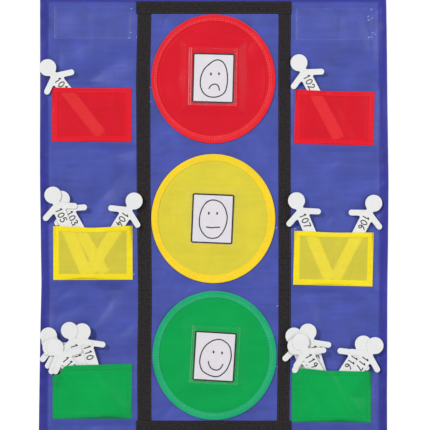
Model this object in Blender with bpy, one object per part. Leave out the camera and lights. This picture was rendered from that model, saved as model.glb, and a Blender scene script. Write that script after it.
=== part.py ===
"""A wall-hanging traffic-light pocket chart: hemmed nylon panel, black webbing frame, three bound
discs with clear card windows, six colour pockets, two label windows, and loose flat figures.

Metres, +Z up. The chart hangs in the XZ plane and faces -Y. The panel's front face is at y = 0, and
the origin is the middle of the middle eyelet in the top hem.
"""

import math

import bmesh
import bpy
from mathutils import Matrix, Vector

# Clearance between neighbouring pieces
GAP = 0.0003

# How far a cutter runs past what it cuts
CUT_OVERRUN = 0.0012

# Panel
PANEL_WIDTH = 0.610
PANEL_HEIGHT = 0.806
CLOTH_THICKNESS = 0.0004
HEM_THICKNESS = 0.0012
SIDE_HEM_WIDTH = 0.014
TOP_HEM_HEIGHT = 0.030
BOTTOM_HEM_HEIGHT = 0.014
HEM_STEP = 0.0005
EDGE_WAVE_HEIGHT = 0.0024
EDGE_WAVE_REACH = 0.020
EDGE_WAVE_LENGTH = 0.31
BOTTOM_WAVE_LENGTH = 0.24
WAVE_ROW_PITCH = 0.045
LEFT_WAVE_PHASE_DEGREES = 46.0
RIGHT_WAVE_PHASE_DEGREES = 149.0

# Eyelets in the top hem
EYELET_DROP = 0.015
EYELET_INSET = 0.035
EYELET_HOLE_RADIUS = 0.0050
EYELET_WALL = 0.0006
EYELET_FLANGE_RADIUS = 0.0095
EYELET_FLANGE_THICKNESS = 0.0006
EYELET_CROWN_HEIGHT = 0.0004
EYELET_ROLL_WIDTH = 0.0018
WASHER_RADIUS = 0.0090
WASHER_THICKNESS = 0.0005
EYELET_SIDES = 20
EYELET_MARGIN = 0.020

# Webbing frame round the discs
TAPE_THICKNESS = 0.0006
TAPE_WIDTH = 0.0215
LEFT_TAPE_WIDTH = 0.0249
LEFT_TAPE_SWAY = 0.0044
TAPE_STEP_LENGTH = 0.0020
TAPE_OVERHANG = 0.0010
TAPE_END_TUCK = 0.0015
LEFT_TAPE_PLACE_SHARE = -0.2019
RIGHT_TAPE_PLACE_SHARE = 0.2029
TOP_TAPE_PLACE_SHARE = 0.0514
BOTTOM_TAPE_PLACE_SHARE = 0.9633
TAPE_SWAY_CENTRE_SHARE = 0.38
TAPE_SWAY_STEPS = 14

# Discs and their folded binding
DISC_WIDTH = 0.2175
DISC_HEIGHT = 0.2265
DISC_THICKNESS = 0.0003
BINDING_WIDTH = 0.0114
BINDING_WALL = 0.00035
DISC_SIDES = 48

# Clear windows that hold the face cards
CARD_WINDOW_WIDTH = 0.085
CARD_WINDOW_HEIGHT = 0.1006
VINYL_THICKNESS = 0.0003
WINDOW_FLANGE = 0.0025
WINDOW_RAMP = 0.0015
CARD_WIDTH = 0.073
CARD_HEIGHT = 0.087
CARD_THICKNESS = 0.0005
CARD_CORNER_RADIUS = 0.002
CARD_LEAN_DEGREES = 0.6

# Clear windows for labels at the top corners
LABEL_WINDOW_WIDTH = 0.1345
LABEL_WINDOW_HEIGHT = 0.0558
LABEL_ROOM = 0.0009
LABEL_LEAN_DEGREES = 0.8

# Colour pockets
POCKET_WIDTH = 0.139
POCKET_HEIGHT = 0.0945
POCKET_HEM_THICKNESS = 0.0009
POCKET_SIDE_HEM = 0.0095
POCKET_MOUTH_HEM = 0.0080
POCKET_SEAM = 0.0045
POCKET_SIDE_RAMP = 0.008
POCKET_LONG_RAMP = 0.027
POCKET_FOOT_RAMP = 0.003
POCKET_LEAST_DEPTH = 0.0055
POCKET_SLACK = 0.0006
HEM_TAPER = 0.0010
RAMP_COLUMN_SHARES = (0.0, 0.15, 0.4, 0.7, 1.0)
FOOT_ROW_SHARE = 0.33
MIDDLE_COLUMNS = 3
MOUTH_EASE_POWER = 3

# Flat figures that stand in the pockets
FIGURE_LENGTH = 0.165
FIGURE_THICKNESS = 0.0009
HEAD_RADIUS = 0.0148
NECK_FILLET = 0.0022
ARM_RADIUS = 0.0051
ARM_REACH = 0.0272
ARM_DROP = 0.0321
ARM_DROOP_DEGREES = 26.0
ARMPIT_FILLET = 0.0025
BODY_WIDTH = 0.0207
FOOT_CORNER_RADIUS = 0.004
FIGURE_LEAN_DEGREES = 2.2

SHARP_ANGLE_DEGREES = 40.0

# Cloth and binding colours of the three lamps
LAMP_COLOURS = {
    "red": ("#e02438", "#db2c33"),
    "yellow": ("#eedd2e", "#f2d840"),
    "green": ("#00a650", "#1d9d5c"),
}

# Centre of each disc, its card window and its card, as shares of the panel's width from the
# middle and of its height from the top; turns are clockwise degrees
DISC_PLACE_SHARES = {"red": (-0.0017, 0.2063), "yellow": (-0.0020, 0.5103), "green": (0.0014, 0.8080)}
WINDOW_PLACE_SHARES = {"red": (-0.0036, 0.2017), "yellow": (-0.0040, 0.5072), "green": (0.0026, 0.8072)}
WINDOW_TURNS = {"red": 1.0, "yellow": 2.5, "green": 3.0}
CARD_TURNS = {"red": 1.5, "yellow": 2.4, "green": 3.5}
CARD_SHIFT_SHARES = {"red": 0.016, "yellow": 0.0, "green": -0.006}
LABEL_PLACE_SHARES = {"left": (-0.3489, 0.0839), "right": (0.3457, 0.0876)}

# Pockets: their places, their clockwise turns, and the line of the mouth from left to right, each
# point a share of the width and how far it lies above the plain height as a share of the height
POCKET_PLACE_SHARES = {
    "left_red": (-0.3514, 0.2846),
    "right_red": (0.3457, 0.2911),
    "left_yellow": (-0.3480, 0.5848),
    "right_yellow": (0.3431, 0.5974),
    "left_green": (-0.3497, 0.8867),
    "right_green": (0.3374, 0.8945),
}
POCKET_TURNS = {
    "left_red": 0.3,
    "right_red": 1.35,
    "left_yellow": -0.2,
    "right_yellow": 1.3,
    "left_green": 0.0,
    "right_green": 0.3,
}
MOUTH_SHARES = {
    "left_red": ((0.0, 0.0), (0.5, -0.008), (1.0, 0.0)),
    "right_red": ((0.0, 0.0), (0.5, -0.010), (1.0, 0.0)),
    "left_yellow": ((0.0, 0.0), (0.5, -0.034), (1.0, 0.0)),
    "right_yellow": ((0.0, 0.0), (0.5, -0.016), (1.0, 0.0)),
    "left_green": ((0.0, -0.18), (0.07, -0.18), (0.17, -0.015), (0.3, 0.0), (1.0, 0.016)),
    "right_green": ((0.0, -0.070), (0.125, 0.003), (0.5, -0.040), (1.0, -0.050)),
}
# Where an arm lies over a pocket's left corner, its front rises over a longer, gentler ramp
LONG_RAMP_POCKETS = ("right_green",)
RAMP_STEEPNESS = 3.0
LONG_RAMP_STEEPNESS = 2.0

# Figures from the rearmost to the front one in each pocket: where the foot stands as a share of the
# pocket's width, the tilt in degrees, which is positive where the head leans to the left, and how far
# the foot is held up, as a share of the pocket's height
FIGURE_PLACE_SHARES = {
    "left_red": ((0.622, 38.5, 0.0),),
    "right_red": ((0.566, 28.0, 0.0),),
    "left_yellow": ((0.645, 30.0, 0.0), (0.4395, -32.5, 0.0), (0.4206, 23.0, 0.0)),
    "right_yellow": ((0.521, -27.0, 0.0), (0.461, 23.0, 0.0)),
    "left_green": (
        (0.428, 26.2, 0.0),
        (0.5895, 35.0, 0.0),
        (0.7005, 17.5, 0.0),
        (0.553, 18.2, 0.03),
        (0.6955, 41.2, 0.0),
        (0.7484, 41.2, 0.0),
    ),
    "right_green": (
        (0.388, 19.5, 0.0),
        (0.5265, 17.4, 0.06),
        (0.312, -33.0, 0.0),
        (0.427, -35.0, 0.0),
        (0.7156, 38.0, 0.037),
        (0.651, 30.0, 0.0),
    ),
}

# The outer eyelets' distance from the middle one
EYELET_SPACING = PANEL_WIDTH / 2 - EYELET_INSET

# Heights above the panel's front face that later layers build on
DISC_BACK = GAP + BINDING_WALL + GAP
DISC_FRONT = DISC_BACK + DISC_THICKNESS
BINDING_FRONT = DISC_FRONT + GAP + BINDING_WALL
FIGURE_PITCH = FIGURE_THICKNESS + GAP
BODY_HALF = BODY_WIDTH / 2
REST_HEIGHT = POCKET_SEAM + POCKET_FOOT_RAMP


def clear_scene():
    for item in list(bpy.data.objects):
        bpy.data.objects.remove(item, do_unlink=True)


def finish(name, hex_colour, roughness, metallic=0.0, alpha=1.0, transmission=0.0):
    """A Principled material for one kind of sub-part."""
    material = bpy.data.materials.new(name)
    material.use_nodes = True
    shader = material.node_tree.nodes["Principled BSDF"]
    channels = [int(hex_colour[i : i + 2], 16) / 255 for i in (1, 3, 5)]
    linear = [c / 12.92 if c <= 0.04045 else ((c + 0.055) / 1.055) ** 2.4 for c in channels]
    shader.inputs["Base Color"].default_value = (*linear, 1.0)
    shader.inputs["Roughness"].default_value = roughness
    shader.inputs["Metallic"].default_value = metallic
    shader.inputs["Alpha"].default_value = alpha
    shader.inputs["Transmission Weight"].default_value = transmission
    return material


def add_object(name, bm, material):
    """Closes a bmesh into a named object with its faces pointing out."""
    bmesh.ops.recalc_face_normals(bm, faces=bm.faces)
    mesh = bpy.data.meshes.new(name)
    bm.to_mesh(mesh)
    bm.free()
    mesh.materials.append(material)
    item = bpy.data.objects.new(name, mesh)
    bpy.context.scene.collection.objects.link(item)
    return item


def shade_round(item):
    item.data.shade_smooth()
    item.data.set_sharp_from_angle(angle=math.radians(SHARP_ANGLE_DEGREES))


def across(share):
    """World X of a share of the panel's width from its middle."""
    return share * PANEL_WIDTH


def down(share):
    """World Z of a share of the panel's height from its top edge."""
    return EYELET_DROP - share * PANEL_HEIGHT


def arc(centre, radius, start, end, steps):
    """Points round a centre from one angle to another, in degrees."""
    angles = [math.radians(start + (end - start) * i / steps) for i in range(steps + 1)]
    return [Vector((centre[0] + radius * math.cos(t), centre[1] + radius * math.sin(t))) for t in angles]


def plate(name, outline, back, front, material):
    """A flat plate whose (x, z) outline is extruded between two distances in front of the panel."""
    bm = bmesh.new()
    face = bm.faces.new([bm.verts.new((p[0], -back, p[1])) for p in outline])
    extruded = bmesh.ops.extrude_face_region(bm, geom=[face])
    moved = [v for v in extruded["geom"] if isinstance(v, bmesh.types.BMVert)]
    bmesh.ops.translate(bm, verts=moved, vec=(0, back - front, 0))
    return add_object(name, bm, material)


def turned(name, profile, sides, material):
    """A closed (radius, y) profile turned about the Y axis through the origin."""
    bm = bmesh.new()
    rings = []
    for i in range(sides):
        angle = 2 * math.pi * i / sides
        rings.append([bm.verts.new((r * math.cos(angle), y, r * math.sin(angle))) for r, y in profile])
    for i in range(sides):
        here, there = rings[i], rings[(i + 1) % sides]
        for j in range(len(profile)):
            k = (j + 1) % len(profile)
            bm.faces.new((here[j], there[j], there[k], here[k]))
    item = add_object(name, bm, material)
    shade_round(item)
    return item


def skin(name, points, thickness, material):
    """A sheet from a grid of points on its panel side, thickened along its own normals."""
    rows, columns = len(points), len(points[0])
    bm = bmesh.new()
    near = [[bm.verts.new(p) for p in row] for row in points]
    far = []
    for j in range(rows):
        line = []
        for i in range(columns):
            along = points[j][min(i + 1, columns - 1)] - points[j][max(i - 1, 0)]
            upward = points[min(j + 1, rows - 1)][i] - points[max(j - 1, 0)][i]
            line.append(bm.verts.new(points[j][i] + along.cross(upward).normalized() * thickness(i, j)))
        far.append(line)
    for grid in (near, far):
        for j in range(rows - 1):
            for i in range(columns - 1):
                bm.faces.new((grid[j][i], grid[j][i + 1], grid[j + 1][i + 1], grid[j + 1][i]))
    rim = [(0, i) for i in range(columns)] + [(j, columns - 1) for j in range(1, rows)]
    rim += [(rows - 1, i) for i in range(columns - 2, -1, -1)] + [(j, 0) for j in range(rows - 2, 0, -1)]
    for (j, i), (m, n) in zip(rim, rim[1:] + rim[:1]):
        bm.faces.new((near[j][i], near[m][n], far[m][n], far[j][i]))
    return add_object(name, bm, material)


def spread(start, end, steps):
    return [start + (end - start) * i / steps for i in range(steps + 1)]


def rise(distance, length, steepness=RAMP_STEEPNESS):
    """A soft ramp from 0 to 1 over a length, steep at first and easing towards its end."""
    t = min(max(distance / length, 0.0), 1.0)
    return (1 - math.exp(-steepness * t)) / (1 - math.exp(-steepness))


def edge_wave(x, z):
    """How far the loose hems of the hanging panel wave forward or back."""
    side = rise(abs(x) - (PANEL_WIDTH / 2 - EDGE_WAVE_REACH), EDGE_WAVE_REACH)
    phase = math.radians(LEFT_WAVE_PHASE_DEGREES if x < 0 else RIGHT_WAVE_PHASE_DEGREES)
    side_wave = math.sin(2 * math.pi * z / EDGE_WAVE_LENGTH + phase)
    low = EYELET_DROP - PANEL_HEIGHT
    foot = rise(low + BOTTOM_HEM_HEIGHT - z, BOTTOM_HEM_HEIGHT)
    foot_wave = math.sin(2 * math.pi * x / BOTTOM_WAVE_LENGTH)
    hung = rise(EYELET_DROP - TOP_HEM_HEIGHT - z, 2 * TOP_HEM_HEIGHT)
    return EDGE_WAVE_HEIGHT * hung * (side * side_wave * (1 - foot) + foot * foot_wave)


def make_panel(material):
    """The hemmed nylon back. Its hems are folded behind, and their step is on the back face."""
    edge = PANEL_WIDTH / 2
    left = [
        -edge,
        -edge + SIDE_HEM_WIDTH,
        -edge + SIDE_HEM_WIDTH + HEM_STEP,
        -edge + EDGE_WAVE_REACH,
        -EYELET_SPACING + EYELET_MARGIN,
        -EYELET_SPACING / 2 - EYELET_MARGIN,
        -EYELET_SPACING / 2 + EYELET_MARGIN,
        -EYELET_MARGIN,
    ]
    columns = sorted(left + [0.0] + [-x for x in left])
    top, low = EYELET_DROP, EYELET_DROP - PANEL_HEIGHT
    rows = [low, low + BOTTOM_HEM_HEIGHT, low + BOTTOM_HEM_HEIGHT + HEM_STEP]
    body_top = top - TOP_HEM_HEIGHT - HEM_STEP
    rows += spread(rows[-1], body_top, round((body_top - rows[-1]) / WAVE_ROW_PITCH))[1:]
    rows += [top - TOP_HEM_HEIGHT, top]

    def thickness(i, j):
        hemmed = (
            abs(columns[-1 - i]) >= edge - SIDE_HEM_WIDTH
            or rows[j] <= low + BOTTOM_HEM_HEIGHT
            or rows[j] >= top - TOP_HEM_HEIGHT
        )
        return HEM_THICKNESS if hemmed else CLOTH_THICKNESS

    # Columns run from +X to -X, which turns the grid's normals to the back
    points = [[Vector((x, -edge_wave(x, z), z)) for x in reversed(columns)] for z in rows]
    panel = skin("chart_panel", points, thickness, material)
    for x in (-EYELET_SPACING, 0.0, EYELET_SPACING):
        cut_round_hole(panel, x)
    return panel


def cut_round_hole(panel, x):
    """One eyelet's hole, cut through the top hem."""
    radius = EYELET_HOLE_RADIUS + EYELET_WALL + GAP
    depth = 2 * (HEM_THICKNESS + CUT_OVERRUN)
    bm = bmesh.new()
    bmesh.ops.create_cone(
        bm, cap_ends=True, segments=EYELET_SIDES, radius1=radius, radius2=radius, depth=depth
    )
    cutter = add_object("eyelet_hole_cutter", bm, panel.data.materials[0])
    cutter.location.x = x
    cutter.rotation_euler.x = math.radians(90)
    cutter.hide_render = True
    cutter.display_type = "WIRE"
    cut = panel.modifiers.new("eyelet_hole", "BOOLEAN")
    cut.operation = "DIFFERENCE"
    cut.solver = "EXACT"
    cut.object = cutter


def make_eyelets(brass, steel):
    """Three rolled eyelets with a washer behind the hem."""
    barrel = EYELET_HOLE_RADIUS + EYELET_WALL
    front = -GAP - EYELET_FLANGE_THICKNESS
    washer_front = HEM_THICKNESS + GAP
    roll_front = washer_front + WASHER_THICKNESS + GAP
    middle = (EYELET_HOLE_RADIUS + EYELET_FLANGE_RADIUS) / 2
    eyelet = [
        (EYELET_HOLE_RADIUS, front),
        (EYELET_HOLE_RADIUS, roll_front + EYELET_WALL),
        (barrel + EYELET_ROLL_WIDTH, roll_front + EYELET_WALL),
        (barrel + EYELET_ROLL_WIDTH, roll_front),
        (barrel, roll_front),
        (barrel, -GAP),
        (EYELET_FLANGE_RADIUS, -GAP),
        (EYELET_FLANGE_RADIUS, front),
        (middle, front - EYELET_CROWN_HEIGHT),
    ]
    washer = [
        (barrel + GAP, washer_front),
        (barrel + GAP, washer_front + WASHER_THICKNESS),
        (WASHER_RADIUS, washer_front + WASHER_THICKNESS),
        (WASHER_RADIUS, washer_front),
    ]
    for side, x in (("left", -EYELET_SPACING), ("middle", 0.0), ("right", EYELET_SPACING)):
        turned("eyelet_" + side, eyelet, EYELET_SIDES, brass).location.x = x
        turned("eyelet_washer_" + side, washer, EYELET_SIDES, steel).location.x = x


def tape_sway(share):
    """The left strip bows outwards over its upper three quarters, as it was sewn."""
    reach = share - TAPE_SWAY_CENTRE_SHARE
    if abs(reach) >= TAPE_SWAY_CENTRE_SHARE:
        return 0.0
    return -LEFT_TAPE_SWAY * math.cos(math.pi / 2 * reach / TAPE_SWAY_CENTRE_SHARE) ** 2


def make_tapes(material):
    """Two upright strips flat on the panel and two cross strips laid over their ends."""
    top = down(TOP_TAPE_PLACE_SHARE)
    low = down(BOTTOM_TAPE_PLACE_SHARE)
    left = across(LEFT_TAPE_PLACE_SHARE)
    right = across(RIGHT_TAPE_PLACE_SHARE)
    head, foot = top + TAPE_WIDTH / 2 - TAPE_END_TUCK, low - TAPE_WIDTH / 2 + TAPE_END_TUCK
    front = GAP + TAPE_THICKNESS

    heights = spread(head, foot, TAPE_SWAY_STEPS)
    sways = [tape_sway(i / TAPE_SWAY_STEPS) for i in range(TAPE_SWAY_STEPS + 1)]
    outer = [(left + s - LEFT_TAPE_WIDTH / 2, z) for s, z in zip(sways, heights)]
    inner = [(left + s + LEFT_TAPE_WIDTH / 2, z) for s, z in zip(sways, heights)]
    plate("frame_tape_left", outer + inner[::-1], GAP, front, material)
    half = TAPE_WIDTH / 2
    upright = [(right - half, head), (right - half, foot), (right + half, foot), (right + half, head)]
    plate("frame_tape_right", upright, GAP, front, material)

    starts = left - LEFT_TAPE_WIDTH / 2 - TAPE_OVERHANG
    ends = right + TAPE_WIDTH / 2 + TAPE_OVERHANG
    left_over = left + LEFT_TAPE_WIDTH / 2 + GAP
    right_over = right - TAPE_WIDTH / 2 - GAP
    stations = [
        (starts, front + GAP),
        (left_over, front + GAP),
        (left_over + TAPE_STEP_LENGTH, GAP),
        (right_over - TAPE_STEP_LENGTH, GAP),
        (right_over, front + GAP),
        (ends, front + GAP),
    ]
    for name, z in (("frame_tape_top", top), ("frame_tape_bottom", low)):
        bm = bmesh.new()
        side = [bm.verts.new((x, -off, z - half)) for x, off in stations]
        side += [bm.verts.new((x, -off - TAPE_THICKNESS, z - half)) for x, off in reversed(stations)]
        count = len(stations)
        strips = [bm.faces.new((side[i], side[i + 1], side[-2 - i], side[-1 - i])) for i in range(count - 1)]
        extruded = bmesh.ops.extrude_face_region(bm, geom=strips)
        moved = [v for v in extruded["geom"] if isinstance(v, bmesh.types.BMVert)]
        bmesh.ops.translate(bm, verts=moved, vec=(0, 0, TAPE_WIDTH))
        add_object(name, bm, material)


def make_disc(colour, cloth, tape):
    """A thin round sheet in the slot of a folded tape that wraps its edge."""
    share_x, share_z = DISC_PLACE_SHARES[colour]
    place = Vector((across(share_x), 0, down(share_z)))
    wall = BINDING_WALL + GAP
    round_disc = arc((0, 0), 1.0, 0, 360, DISC_SIDES)[:-1]
    half_width, half_height = DISC_WIDTH / 2 - wall, DISC_HEIGHT / 2 - wall
    outline = [(p.x * half_width, p.y * half_height) for p in round_disc]
    plate("disc_" + colour, outline, DISC_BACK, DISC_FRONT, cloth).location = place

    outer, slot = DISC_WIDTH / 2, DISC_WIDTH / 2 - BINDING_WALL
    inner = outer - BINDING_WIDTH
    levels = (-GAP, -GAP - BINDING_WALL, -DISC_FRONT - GAP, -BINDING_FRONT)
    profile = [
        (inner, levels[0]),
        (outer, levels[0]),
        (outer, levels[3]),
        (inner, levels[3]),
        (inner, levels[2]),
        (slot, levels[2]),
        (slot, levels[1]),
        (inner, levels[1]),
    ]
    ring = turned("disc_binding_" + colour, profile, DISC_SIDES, tape)
    stretch = DISC_HEIGHT / DISC_WIDTH
    for vertex in ring.data.vertices:
        vertex.co.z *= stretch
    ring.location = place


def window_frame(place, turn):
    """Turns a point on a sewn-on piece, measured from its middle, to its place on the chart."""
    return Matrix.Translation((across(place[0]), 0, down(place[1]))) @ Matrix.Rotation(
        math.radians(turn), 4, "Y"
    )


def clear_window(name, frame, size, base, room, lean, material):
    """A clear sheet sewn down at its sides and foot, open at the top, standing off in its middle."""
    width, height = size
    inner = WINDOW_FLANGE + WINDOW_RAMP
    columns = [0.0, WINDOW_FLANGE, inner, width / 2, width - inner, width - WINDOW_FLANGE, width]
    rows = [0.0, WINDOW_FLANGE, inner, height / 2, height]
    points = []
    for up in rows:
        line = []
        for along in columns:
            side = min(along, width - along) - WINDOW_FLANGE
            share = rise(side, WINDOW_RAMP) * rise(up - WINDOW_FLANGE, WINDOW_RAMP)
            off = base + GAP + share * (room + up * math.tan(lean))
            line.append(frame @ Vector((along - width / 2, -off, up - height / 2)))
        points.append(line)
    return skin(name, points, lambda i, j: VINYL_THICKNESS, material)


def make_card(colour, frame, material):
    """A stiff face card, standing on the foot seam of its window."""
    radius = CARD_CORNER_RADIUS
    half_width, half_height = CARD_WIDTH / 2 - radius, CARD_HEIGHT / 2 - radius
    outline = []
    for x, z, start in ((1, 1, 0), (-1, 1, 90), (-1, -1, 180), (1, -1, 270)):
        outline += arc((x * half_width, z * half_height), radius, start, start + 90, 2)
    tilt = math.radians(CARD_TURNS[colour] - WINDOW_TURNS[colour])
    lowest = half_width * abs(math.sin(tilt)) + half_height * math.cos(tilt) + radius
    seat = WINDOW_FLANGE + WINDOW_RAMP - CARD_WINDOW_HEIGHT / 2
    lean = math.radians(CARD_LEAN_DEGREES)
    centre = Vector((
        CARD_SHIFT_SHARES[colour] * CARD_WIDTH,
        -(DISC_FRONT + GAP + (seat + lowest + CARD_WINDOW_HEIGHT / 2) * math.tan(lean)),
        seat + lowest,
    ))
    card = plate("face_card_" + colour, outline, 0.0, CARD_THICKNESS, material)
    card.matrix_world = (
        frame @ Matrix.Translation(centre) @ Matrix.Rotation(lean, 4, "X") @ Matrix.Rotation(tilt, 4, "Y")
    )
    return card


def stack_depth(name, up):
    """How far the front of a pocket's stack of figures stands off the panel at a height."""
    above = max(up - REST_HEIGHT, 0.0) * math.tan(math.radians(FIGURE_LEAN_DEGREES))
    return len(FIGURE_PLACE_SHARES[name]) * FIGURE_PITCH + GAP + above


def pocket_depth(name, up):
    above = max(up - REST_HEIGHT, 0.0) * math.tan(math.radians(FIGURE_LEAN_DEGREES))
    return max(stack_depth(name, up) + POCKET_SLACK, POCKET_LEAST_DEPTH + above)


def mouth_height(name, along):
    """The height of the pocket's mouth across its width, a smooth line through its points."""
    share = along / POCKET_WIDTH
    line = MOUTH_SHARES[name]
    for (start, low), (end, high) in zip(line, line[1:]):
        if share <= end:
            break
    blend = (share - start) / (end - start)
    return POCKET_HEIGHT * (1 + low + (high - low) * blend * blend * (3 - 2 * blend))


def pocket_frame(name):
    middle = Matrix.Translation((-POCKET_WIDTH / 2, 0, -POCKET_HEIGHT / 2))
    return window_frame(POCKET_PLACE_SHARES[name], POCKET_TURNS[name]) @ middle


def make_pocket(name, material):
    """A hemmed pocket front, sewn flat at its sides and foot and standing off as the figures need."""
    gentle = name in LONG_RAMP_POCKETS
    left_ramp = POCKET_LONG_RAMP if gentle else POCKET_SIDE_RAMP
    steepness = LONG_RAMP_STEEPNESS if gentle else RAMP_STEEPNESS
    near = [POCKET_SEAM + left_ramp * s for s in RAMP_COLUMN_SHARES]
    far = [POCKET_WIDTH - POCKET_SEAM - POCKET_SIDE_RAMP * s for s in RAMP_COLUMN_SHARES]
    columns = [0.0, *near, POCKET_SIDE_HEM + HEM_TAPER]
    columns += [s * POCKET_WIDTH for s, _ in MOUTH_SHARES[name][1:-1] if s * POCKET_WIDTH > near[-1]]
    columns += spread(near[-1], far[-1], MIDDLE_COLUMNS)[1:-1] + far + [POCKET_WIDTH]
    columns = sorted(set(columns))
    rows = [0.0, POCKET_SEAM, POCKET_SEAM + POCKET_FOOT_RAMP * FOOT_ROW_SHARE, REST_HEIGHT]
    rows += [POCKET_SIDE_HEM, POCKET_SIDE_HEM + HEM_TAPER, POCKET_HEIGHT / 2]
    rows += [POCKET_HEIGHT - POCKET_MOUTH_HEM - HEM_TAPER, POCKET_HEIGHT - POCKET_MOUTH_HEM, POCKET_HEIGHT]
    frame = pocket_frame(name)

    points = []
    for row in rows:
        line = []
        for along in columns:
            lift = mouth_height(name, along) - POCKET_HEIGHT
            up = row + lift * (row / POCKET_HEIGHT) ** MOUTH_EASE_POWER
            sides = rise(along - POCKET_SEAM, left_ramp, steepness)
            sides *= rise(POCKET_WIDTH - along - POCKET_SEAM, POCKET_SIDE_RAMP)
            foot = rise(up - POCKET_SEAM, POCKET_FOOT_RAMP)
            off = GAP + (pocket_depth(name, up) - GAP) * sides * foot
            line.append(frame @ Vector((along, -off, up)))
        points.append(line)

    def thickness(i, j):
        hemmed = (
            min(columns[i], POCKET_WIDTH - columns[i]) <= POCKET_SIDE_HEM
            or rows[j] <= POCKET_SIDE_HEM
            or rows[j] >= POCKET_HEIGHT - POCKET_MOUTH_HEM
        )
        return POCKET_HEM_THICKNESS if hemmed else CLOTH_THICKNESS

    return skin("pocket_" + name, points, thickness, material)


def figure_outline():
    """The outline of a flat figure, foot at the origin: round head, drooping arms, straight body."""
    head = Vector((0, FIGURE_LENGTH - HEAD_RADIUS))
    droop = math.radians(ARM_DROOP_DEGREES)
    outward = Vector((math.cos(droop), -math.sin(droop)))
    upward = Vector((math.sin(droop), math.cos(droop)))
    tip = head + Vector((ARM_REACH, -ARM_DROP))
    shoulder = tip + upward * ARM_RADIUS

    # The neck fillet touches the head's circle and the arm's upper edge
    reach = HEAD_RADIUS + NECK_FILLET
    height = (shoulder - head).dot(upward) + NECK_FILLET
    neck = head + upward * height + outward * math.sqrt(reach**2 - height**2)
    to_head = math.degrees(math.atan2(head.y - neck.y, head.x - neck.x))
    half = arc(head, HEAD_RADIUS, 90, to_head - 180, 8)
    half += arc(neck, NECK_FILLET, to_head, 270 - ARM_DROOP_DEGREES, 2)[1:]
    half += arc(tip, ARM_RADIUS, 90 - ARM_DROOP_DEGREES, -90 - ARM_DROOP_DEGREES, 4)

    # The armpit fillet joins the arm's lower edge to the body's side
    under = tip - upward * ARM_RADIUS
    corner = under + outward * ((BODY_HALF - under.x) / outward.x)
    opening = math.pi / 2 - droop
    setback = ARMPIT_FILLET / math.tan(opening / 2)
    pit = Vector((BODY_HALF + ARMPIT_FILLET, corner.y - setback))
    half += arc(pit, ARMPIT_FILLET, 90 - ARM_DROOP_DEGREES, 180, 2)
    foot = Vector((BODY_HALF - FOOT_CORNER_RADIUS, FOOT_CORNER_RADIUS))
    half += arc(foot, FOOT_CORNER_RADIUS, 0, -90, 2)
    return half + [Vector((-p.x, p.y)) for p in reversed(half[1:])]


def make_figures(material):
    """Every figure shares one mesh, and stands leaning forward in its own layer of the pocket."""
    template = plate("figure_template", figure_outline(), 0.0, FIGURE_THICKNESS, material)
    lean = Matrix.Rotation(math.radians(FIGURE_LEAN_DEGREES), 4, "X")
    for pocket, stack in FIGURE_PLACE_SHARES.items():
        frame = pocket_frame(pocket)
        for layer, (foot_share, tilt, lift_share) in enumerate(stack):
            angle = math.radians(tilt + POCKET_TURNS[pocket])
            foot = (BODY_HALF - FOOT_CORNER_RADIUS) * abs(math.sin(angle))
            foot += FOOT_CORNER_RADIUS * (1 - math.cos(angle)) + lift_share * POCKET_HEIGHT
            off = GAP + layer * FIGURE_PITCH + foot * math.tan(math.radians(FIGURE_LEAN_DEGREES))
            item = bpy.data.objects.new(figure_name(pocket, layer), template.data)
            bpy.context.scene.collection.objects.link(item)
            item.matrix_world = (
                Matrix.Translation(frame @ Vector((foot_share * POCKET_WIDTH, -off, REST_HEIGHT + foot)))
                @ lean
                @ Matrix.Rotation(-math.radians(tilt), 4, "Y")
            )
    bpy.data.objects.remove(template, do_unlink=True)


def figure_name(pocket, layer):
    return "figure_" + pocket + ("" if len(FIGURE_PLACE_SHARES[pocket]) == 1 else "_" + str(layer + 1))


def build():
    clear_scene()
    blue = finish("blue_nylon", "#505bab", 0.6)
    webbing = finish("black_webbing", "#353033", 0.8)
    vinyl = finish("clear_vinyl", "#f4f6f8", 0.12, alpha=0.25, transmission=0.8)
    card = finish("white_card", "#e4e4e8", 0.45)
    make_panel(blue)
    make_eyelets(finish("brass", "#c9a45a", 0.3, 1.0), finish("nickel_washer", "#c8c8c4", 0.35, 1.0))
    make_tapes(webbing)

    cloths = {}
    lean = math.radians(CARD_LEAN_DEGREES)
    room = GAP + CARD_THICKNESS + GAP
    for colour, (cloth_hex, binding_hex) in LAMP_COLOURS.items():
        cloths[colour] = finish(colour + "_nylon", cloth_hex, 0.55)
        make_disc(colour, cloths[colour], finish(colour + "_binding", binding_hex, 0.6))
        frame = window_frame(WINDOW_PLACE_SHARES[colour], WINDOW_TURNS[colour])
        size = (CARD_WINDOW_WIDTH, CARD_WINDOW_HEIGHT)
        clear_window("card_window_" + colour, frame, size, DISC_FRONT, room, lean, vinyl)
        make_card(colour, frame, card)
    for side, place in LABEL_PLACE_SHARES.items():
        frame = window_frame(place, 0.0)
        size = (LABEL_WINDOW_WIDTH, LABEL_WINDOW_HEIGHT)
        lean = math.radians(LABEL_LEAN_DEGREES)
        clear_window("label_window_" + side, frame, size, 0.0, LABEL_ROOM, lean, vinyl)
    for name in POCKET_PLACE_SHARES:
        make_pocket(name, cloths[name.split("_")[1]])
    make_figures(finish("white_figure", "#ecedec", 0.5))


build()
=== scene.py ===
"""The looks of a hanging stoplight pocket chart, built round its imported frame.

Metres, +Z up. The chart faces -Y, and its cloth lies at y = 0 before its folds. Everything sewn on
the cloth is made flat first and then follows the cloth's own folds.
"""

import math

import bmesh
import bpy
import numpy as np
from mathutils import Matrix, Vector


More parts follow.
